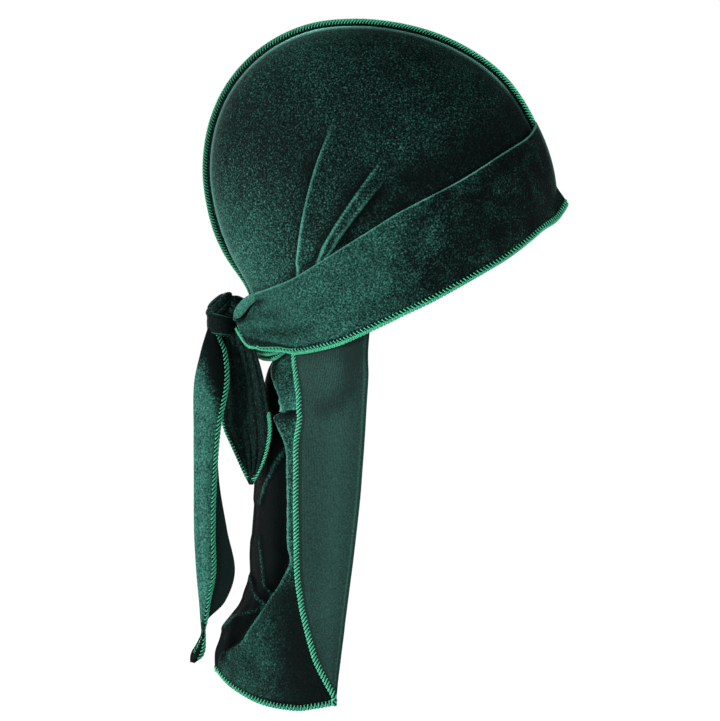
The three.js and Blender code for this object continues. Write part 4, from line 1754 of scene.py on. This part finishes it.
    def law(self, across: Array, along: Array) -> Array:
        """Bends the cape: the flap's serged edge, its front fold, then round the nape.

        Args:
            across: shares across the sheet.
            along: shares along the sheet.

        Returns:
            The places, in millimetres.
        """
        width, height = self.drape_place(across, along)
        out = self.fold_out(width, height) + self.tuck_out(width, height)
        drape = self.curve(width, height, out)
        front = self.plan.read("front", height)
        depth = self.plan.read("back", height) - front
        angle = math.pi * (1 - np.clip((across - self.flap_share) / self.turn_share, 0, 1))
        zero = np.zeros_like(height)
        turned = self.curve(zero, height, self.flap_radius * (1 - np.cos(angle)))
        turned[:, 1] -= self.flap_radius * np.sin(angle)
        reach = np.maximum((self.plan.read("flap_edge", height) - front) / depth, 0.01)
        place = self.along_for(reach) * (1 - np.clip(across / self.flap_share, 0, 1))
        flap = self.curve(place, height, 2 * self.flap_radius + self.fold_out(place, height))
        on_flap = (across <= self.flap_share)[:, None]
        on_turn = (across < self.flap_share + self.turn_share)[:, None]
        return np.where(on_flap, flap, np.where(on_turn, turned, drape))

    def build(self, wardrobe: Wardrobe, overlock: Overlock) -> None:
        """Builds the cape and sews its flap's edge, its hem and its left edge.

        Args:
            wardrobe: the durag's finishes.
            overlock: the stitch that sews its edges.
        """
        cape = bent_grid("cape_velvet", self.across, self.along, self.law, self.flat,
                         flipped=True, pile=self.pile)
        thicken(cape, self.cloth)
        dress(cape, Slot.VELVET, wardrobe.velvet, wardrobe.knit)
        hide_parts("cape")
        down = np.linspace(0.93, 0.0, 500)
        flap_edge = Edge.of(self.law, np.zeros_like(down), down, (0.02, 0))
        run = np.linspace(0, 1, 900)
        hem = Edge.of(self.law, run, np.zeros_like(run), (0, 0.01))
        left_edge = Edge.of(self.law, np.ones_like(down), down[::-1], (-0.01, 0))
        sewn = [
            overlock.sew("cape_flap_serging", [flap_edge], wardrobe.thread),
            overlock.sew("cape_hem_serging", [hem], wardrobe.thread),
            overlock.sew("cape_left_serging", [left_edge], wardrobe.thread),
        ]


# ------------------------------------------------------------------ knot and tails


@dataclass
class TailLong:
    """The long strap end, folded lengthwise, with a serged edge on each layer."""

    cloth: float = 0.9
    crown: float = 1.6
    across: int = 70
    along: int = 200
    flat: Pair = (50.0, 192.0)
    outer_share: float = 0.44
    turn_share: float = 0.16
    edge_shade: float = -1.9
    fold_light: float = 0.40
    under_shade: float = 2.4
    root_shade: float = 1.1
    thread_reach: float = 1.2
    sewn_share: float = 0.7
    tip_width: float = 0.9
    table: Table = Table(
        "height edge fold under out depth",
        (-171, 81.5, 85.5, 81.2, 5, 3), (-178.9, 79.8, 88, 79.6, 11, 5),
        (-188, 75.8, 90.4, 78, 18, 6), (-206, 74.4, 94, 77, 24, 6),
        (-232, 79.2, 94.2, 80.6, 26, 6), (-262, 81.6, 94.2, 80, 25, 6),
        (-292, 82.6, 94.2, 75.4, 23, 7), (-316, 82.4, 93, 71, 22, 7),
        (-334, 85.8, 91.4, 77, 20, 5), (-344, 87.4, 90.7, 87, 19, 3),
        (-348, 88.5, 90.3, 88.6, 19, 1.8), (-350.5, 88.9, 90.1, 88.9, 19, 1.2),
        (-353, 88.6, 90.6, 88.8, 19, 1.8), (-356, 88.5, 92, 88.7, 19, 2.4),
        (-359.5, 88.5, 93.9, 88.7, 19, 2.6), (-362.5, 89, 95.8, 89.4, 19.3, 2.6),
        (-365.5, 90.6, 96.6, 91, 19.6, 2.2), (-368.5, 94.6, 96.6, 95, 20, 1.6),
    )

    def breadth(self, along: Array) -> Array:
        """Returns how broad the outer layer is from its serged edge to the fold."""
        height = self.table.between(along)
        return self.table.read("fold", height) - self.table.read("edge", height)

    def law(self, across: Array, along: Array) -> Array:
        """Bends the tail: the outer layer from its serged edge, the fold, the layer under it.

        Args:
            across: shares across the sheet.
            along: shares along the sheet.

        Returns:
            The places, in millimetres.
        """
        height = self.table.between(along)
        radius = self.table.read("depth", height) / 2
        out = self.table.read("out", height)
        bend = self.table.read("fold", height) - radius
        share = np.clip(across / self.outer_share, 0, 1)
        angle = math.pi * np.clip((across - self.outer_share) / self.turn_share, 0, 1)
        rest = 1 - self.outer_share - self.turn_share
        under = np.clip((across - self.outer_share - self.turn_share) / rest, 0, 1)
        right = -out - self.crown * np.sin(math.pi * share) + radius * (1 - np.cos(angle))
        back = lerp(self.table.read("edge", height), bend, share) + radius * np.sin(angle)
        back = np.where(under > 0, lerp(bend, self.table.read("under", height), under), back)
        return np.stack([right, back, height], -1)

    def pile(self, across: Array, along: Array) -> dict[str, Array]:
        """Tells how the pile lies: painted light by the fold, and painted shade towards the serged
        edge and on the layer under it.

        Args:
            across: shares across the sheet.
            along: shares along the sheet.

        Returns:
            The attributes' values, by name.
        """
        share = np.clip(across / self.outer_share, 0, 1)
        under = smoothstep(across, self.outer_share + self.turn_share * 0.6, 0.7)
        # Painted shade by the serged edge grows towards the knot, and is deepest just below it. The
        # layer under the fold is painted darker too.
        start = lerp(-0.35, 0.72, smoothstep(along, 0.66, 0.93))
        nap = lerp(self.edge_shade, self.fold_light, smoothstep(share - start, -0.05, 0.6))
        nap = nap - self.under_shade * under - self.root_shade * smoothstep(along, 0.84, 0.97)
        # A painted highlight on the under layer's raw edge, and painted shade on the narrow tip.
        nap = nap + 1.2 * smoothstep(across, 0.975, 0.995) - 2.0 * smoothstep(along, 0.085, 0.07)
        nap = nap + sewn_shade(share * self.breadth(along) + self.thread_reach)
        return {"nap": nap, "crush": np.full_like(nap, 0.1)}

    def build(self, wardrobe: Wardrobe, overlock: Overlock) -> None:
        """Builds the tail and sews both its edges.

        Args:
            wardrobe: the durag's finishes.
            overlock: the stitch that sews its edges.
        """
        tail = bent_grid("tail_long_velvet", self.across, self.along, self.law, self.flat,
                         flipped=True, pile=self.pile)
        thicken(tail, self.cloth)
        dress(tail, Slot.VELVET, wardrobe.velvet, wardrobe.knit)
        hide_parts("tail_long")
        down = np.linspace(0.97, 0.004, 500)
        edge = Edge.of(self.law, np.zeros_like(down), down, (0.03, 0))
        edge.breadth = self.sewn_share * self.breadth(down)
        tip = np.linspace(0.075, 0.008, 60)
        tip_edge = Edge.of(self.law, np.full_like(tip, self.outer_share), tip, (-0.03, 0))
        tip_edge.breadth = np.full_like(tip, self.tip_width)
        hem = overlock.sew("tail_long_serging", [edge, tip_edge], wardrobe.thread)


@dataclass
class TailShort:
    """The short strap end: a strip with lengthwise pleats that ends in a point."""

    cloth: float = 0.9
    slant: float = 0.8
    pleats: float = 5.0
    pleat: float = 0.8
    sewn_share: float = 0.55
    sewn_least: float = 1.0
    across: int = 64
    along: int = 100
    flat: Pair = (38.0, 88.0)
    table: Table = Table(
        "height back front out",
        (-171, 77, 66, 5), (-178.9, 81, 61.8, 6), (-188, 80.4, 58.6, 6), (-200, 79.4, 55, 6),
        (-216, 79, 51.8, 7), (-231, 78, 49.6, 9), (-244, 72.4, 51.4, 12), (-254, 67.6, 55, 16),
        (-265, 62.4, 60.4, 19),
    )

    def breadth(self, along: Array) -> Array:
        """Returns how broad the strip is."""
        height = self.table.between(along)
        return self.table.read("back", height) - self.table.read("front", height)

    def law(self, across: Array, along: Array) -> Array:
        """Bends the strip from its back edge to its front edge.

        Args:
            across: shares across the sheet.
            along: shares along the sheet.

        Returns:
            The places, in millimetres.
        """
        height = self.table.between(along)
        back, front = self.table.read("back", height), self.table.read("front", height)
        breadth = self.breadth(along)
        wave = self.pleat * np.sin(2 * math.pi * self.pleats * across) * smoothstep(breadth, 4, 14)
        right = self.table.read("out", height) + self.slant * across * breadth + wave
        return np.stack([-right, lerp(back, front, across), height], -1)

    def build(self, wardrobe: Wardrobe, overlock: Overlock) -> None:
        """Builds the strip and sews both its edges.

        Args:
            wardrobe: the durag's finishes.
            overlock: the stitch that sews its edges.
        """
        tail = bent_grid("tail_short_velvet", self.across, self.along, self.law, self.flat)
        thicken(tail, self.cloth)
        # The darker copy of the velvet gives the short tail painted shade.
        dress(tail, Slot.VELVET, wardrobe.shaded, wardrobe.knit)
        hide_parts("tail_short")
        edges = []
        for across, start, inner in ((0.0, 0.52, 0.03), (1.0, 0.45, -0.03)):
            down = np.linspace(start, 0.01, 200)
            edge = Edge.of(self.law, np.full_like(down, across), down, (inner, 0))
            edge.breadth = np.maximum(self.sewn_share * self.breadth(down), self.sewn_least)
            edges.append(edge)
        hem = overlock.sew("tail_short_serging", edges, wardrobe.thread)


@dataclass
class Collar:
    """The turn of strap round the root of both tails: a tall soft ring."""

    node: str = "knot_collar"
    middle: Pair = (-1.0, 77.6)
    half: Pair = (13.4, 8.6)
    soft: float = 1.9
    crease: float = 0.45
    nap: float = -0.9
    rim_highlight: float = 2.6
    boxy: float = 3.2
    top: Table = Table("back height", (66, -169.4), (74, -167.2), (88, -163.8))
    foot: Table = Table("back height", (66, -179.6), (77, -178.8), (88, -177.6))
    around: int = 120
    section: int = 36
    flat: Pair = (80.0, 30.0)

    def law(self, around: Array, section: Array) -> Array:
        """Bends the ring: round the tails, and round its own section.

        Args:
            around: shares round the tails.
            section: shares round its section.

        Returns:
            The places, in millimetres.
        """
        turn, roll = 2 * math.pi * around, 2 * math.pi * section
        out = signed_power(np.cos(roll), 2 / self.boxy)
        rise = signed_power(np.sin(roll), 2 / self.boxy)
        crease = self.crease * np.abs(np.sin(rise * 4.2 + 1.1 * np.sin(turn * 2) + 0.4)) ** 0.7
        reach = self.soft * out - crease * smoothstep(out, 0, 0.6)
        right = self.middle[0] - np.sin(turn) * (self.half[0] + reach)
        back = self.middle[1] + np.cos(turn) * (self.half[1] + reach)
        height = lerp(self.foot.read("height", back), self.top.read("height", back),
                      0.5 + 0.5 * rise)
        return np.stack([right, back, height], -1)

    def pile(self, around: Array, section: Array) -> dict[str, Array]:
        """Tells how the pile lies: painted shade over the ring, and painted highlights along its
        upper and lower rims.
        """
        rise = np.sin(2 * math.pi * section)
        return {"nap": self.nap + self.rim_highlight * bell(np.abs(rise) - 0.8, 0.10),
                "crush": np.zeros_like(rise)}

    def build(self, wardrobe: Wardrobe) -> None:
        """Builds the ring.

        Args:
            wardrobe: the durag's finishes.
        """
        ring = bent_grid(f"{self.node}_velvet", self.around, self.section, self.law, self.flat,
                         joined=0.01, closed=True, pile=self.pile)
        # The darker copy of the velvet adds painted shade to the knot.
        dress(ring, Slot.VELVET, wardrobe.shaded)
        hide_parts(self.node)


@dataclass
class Lobe:
    """A loop of strap in the knot: a rounded bundle with pleats that run along it."""

    node: str
    middle: Triple
    half: Triple
    tilt: float
    boxy: float = 2.4
    pleats: float = 1.7
    depth: float = 0.13
    rim_highlight: float = 1.1
    groove_shade: float = 0.9

    def build(self, wardrobe: Wardrobe) -> None:
        """Builds the bundle.

        Args:
            wardrobe: the durag's finishes.
        """
        bm = bmesh.new()
        bmesh.ops.create_uvsphere(bm, u_segments=96, v_segments=64, radius=1.0)
        points = np.array([vertex.co[:] for vertex in bm.verts])
        size = np.sum(np.abs(points) ** self.boxy, axis=1) ** (1 / self.boxy)
        phase = self.pleats * math.pi * (points[:, 2] + 0.12 * np.sin(2.4 * points[:, 1] + 1))
        groove = 1 - np.abs(np.sin(phase)) ** 0.6
        shrink = 1 - self.depth * groove * (1 - points[:, 2] ** 4)
        places = points / size[:, None] * np.array(self.half) * shrink[:, None]
        turned = np.array(Euler((math.radians(self.tilt), 0, 0)).to_matrix())
        places = places @ turned.T + np.array(self.middle)
        for vertex, place in zip(bm.verts, places * MM):
            vertex.co = place
        # Painted highlights along the pleats' rims and painted shade in their grooves.
        rim = np.abs(np.sin(phase))
        lay_pile_and_shade(bm, {"nap": self.rim_highlight * bell(rim - 0.5, 0.12)
                      - self.groove_shade * bell(rim, 0.3)})
        bundle = mesh_object(f"{self.node}_velvet", bm)
        # The darker copy of the velvet adds painted shade to the knot.
        dress(bundle, Slot.VELVET, wardrobe.shaded)
        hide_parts(self.node)


# ------------------------------------------------------------------ studio


@dataclass
class Studio:
    """A plain pale floor, soft lights and the camera at the wearer's right."""

    target: Triple = (0.0, -0.0018, -0.1936)
    distance: float = 2.2
    elevation: float = 2.0
    lens: float = 188.035
    sensor: float = 36.0
    floor_drop: float = 0.3
    floor_size: float = 12.0
    floor_tone: float = 0.2
    sky_strength: float = 0.12
    lamps: tuple[tuple[str, Triple, float, float], ...] = (
        # name, place, size, power
        ("key", (-0.9, 2.3, -0.25), 0.8, 70),
        ("fill", (-2.8, 0.5, 0.3), 1.6, 15),
        ("top", (0.4, 1.4, 1.9), 1.2, 8),
        ("far_side", (2.4, 0.8, 0.3), 1.6, 22),
        ("front_top", (-0.8, -1.6, 1.3), 1.2, 12),
    )

    def camera(self) -> None:
        """Places the camera."""
        data = bpy.data.cameras.new("camera")
        data.sensor_fit = "HORIZONTAL"
        data.sensor_width = self.sensor
        data.lens = self.lens
        data.clip_end = 50
        camera = bpy.data.objects.new("camera", data)
        bpy.context.scene.collection.objects.link(camera)
        tilt = math.radians(self.elevation)
        way = Vector((math.cos(tilt), 0, -math.sin(tilt)))
        camera.location = Vector(self.target) - way * self.distance
        camera.rotation_euler = way.to_track_quat("-Z", "Y").to_euler()
        bpy.context.scene.camera = camera

    def floor(self) -> None:
        """Lays the floor below the object."""
        bm = bmesh.new()
        bmesh.ops.create_circle(bm, cap_ends=True, segments=96, radius=self.floor_size)
        bmesh.ops.translate(bm, verts=bm.verts[:], vec=(0, 0, CAD_BOX[0][2] - self.floor_drop))
        floor = mesh_object("floor", bm)
        paint = Nodes("pale_floor")
        paint.gloss(base_color=(*[self.floor_tone] * 3, 1), roughness=1.0, specular_ior_level=0.0,
                    emission_color=(1, 1, 1, 1), emission_strength=1.0)
        floor.data.materials.append(paint.material)

    def lamp(self, name: str, place: Triple, size: float, power: float) -> None:
        """Hangs a soft square light that faces the object.

        Args:
            name: name of the light.
            place: where it hangs, in metres.
            size: its width.
            power: its power, in watts.
        """
        data = bpy.data.lights.new(name, "AREA")
        data.size = size
        data.energy = power
        light = bpy.data.objects.new(name, data)
        bpy.context.scene.collection.objects.link(light)
        light.location = place
        way = Vector(self.target) - light.location
        light.rotation_euler = way.to_track_quat("-Z", "Y").to_euler()

    def world(self) -> None:
        """Sets up a sky that lights softly and looks white to the camera."""
        world = bpy.data.worlds.new("studio")
        bpy.context.scene.world = world
        world.use_nodes = True
        tree = world.node_tree
        soft = tree.nodes["Background"]
        soft.inputs["Color"].default_value = (1, 1, 1, 1)
        soft.inputs["Strength"].default_value = self.sky_strength
        seen = tree.nodes.new("ShaderNodeBackground")
        seen.inputs["Color"].default_value = (1, 1, 1, 1)
        path = tree.nodes.new("ShaderNodeLightPath")
        mix = tree.nodes.new("ShaderNodeMixShader")
        tree.links.new(path.outputs["Is Camera Ray"], mix.inputs[0])
        tree.links.new(soft.outputs[0], mix.inputs[1])
        tree.links.new(seen.outputs[0], mix.inputs[2])
        tree.links.new(mix.outputs[0], tree.nodes["World Output"].inputs["Surface"])
        bpy.context.scene.view_settings.view_transform = "Standard"

    def build(self) -> None:
        """Places the camera, the floor, the lights and the sky."""
        self.camera()
        self.floor()
        for lamp in self.lamps:
            self.lamp(*lamp)
        self.world()


def main() -> None:
    """Builds the studio and then the durag, piece by piece."""
    Studio().build()
    wardrobe = Wardrobe.build()
    overlock = Overlock()
    form = HeadForm()
    band = Band(form)
    Crown(form, band).build(wardrobe, Overlock(pitch=1.8, cloth=1.4, width=2.5, loop_width=1.1,
                                             slant=-1.4, overhang=0.2, bar_radius=0.34,
                                             loop_radius=0.30, core_radius=0.24))
    band.build(wardrobe, replace(overlock, chain_radius=0.25))
    straps = {
        "nape_strap_outer": Table("round hem lift", (148, -55.0, 1.1), (160, -54.2, 6),
                                  (170, -52.8, 8.4), (180, -51.4, 10.2)),
        "nape_strap_inner": Table("round hem lift", (152, -56.2, 0.4), (161, -56.4, 4.4),
                                  (171, -55.4, 7.2), (180, -54.2, 9.2)),
    }
    for name, table in straps.items():
        NapeStrap(name, form, table).build(wardrobe, replace(
            overlock, width=1.9, loop_width=1.0, slant=-1.0, bar_radius=0.30, loop_radius=0.22,
            core_radius=0.16))
    tucks = (
        Tuck(((20.0, -219.5), (30.0, -220.0), (35.4, -220.4), (38.9, -221.6), (41.5, -221.2),
              (43.3, -219.0), (44.8, -215.0)), 3.0, lit=0.1, glow=0.7, shade=2.2, lit_width=4.5),
        Tuck(((61.6, -316.0), (57.2, -331.5), (56.6, -335.2), (59.5, -338.5), (70.3, -343.4),
              (79.0, -353.0)), 1.2, lit=1.7, shade=0.3),
        Tuck(((55.8, -294.0), (53.4, -316.0), (53.4, -339.0)), 1.2, lit=1.5, shade=0.3),
        Tuck(((43.0, -236.0), (46.4, -247.6), (49.0, -256.3), (52.6, -266.8), (56.0, -279.0)), 1.2,
             lit=2.6, shade=0.3),
    )
    Cape(tucks=tucks).build(wardrobe, replace(overlock, pitch=2.12, width=3.0, loop_width=1.5,
                                               slant=2.4))
    Collar().build(wardrobe)
    Lobe("knot_lobe_back", (-1, 79.4, -161.8), (13, 10.2, 6.0), -40, pleats=1.3).build(wardrobe)
    Lobe("knot_lobe_front", (-1, 70.2, -162.6), (12.5, 7.6, 6.8), 24, pleats=1.2).build(wardrobe)
    for side, name in ((1, "band_tongue_right"), (-1, "band_tongue_left")):
        Tongue(name, side).build(wardrobe)
    fine = replace(overlock, pitch=2.45, width=2.4, loop_width=1.1, slant=-1.3, bar_radius=0.38,
                   loop_radius=0.20, core_radius=0.15)
    TailLong().build(wardrobe, fine)
    TailShort().build(wardrobe, replace(fine, pitch=1.95, bar_radius=0.30, slant=-1.5))


if __name__ == "__main__":
    logging.basicConfig(level=logging.INFO, format="%(name)s %(message)s")
    main()
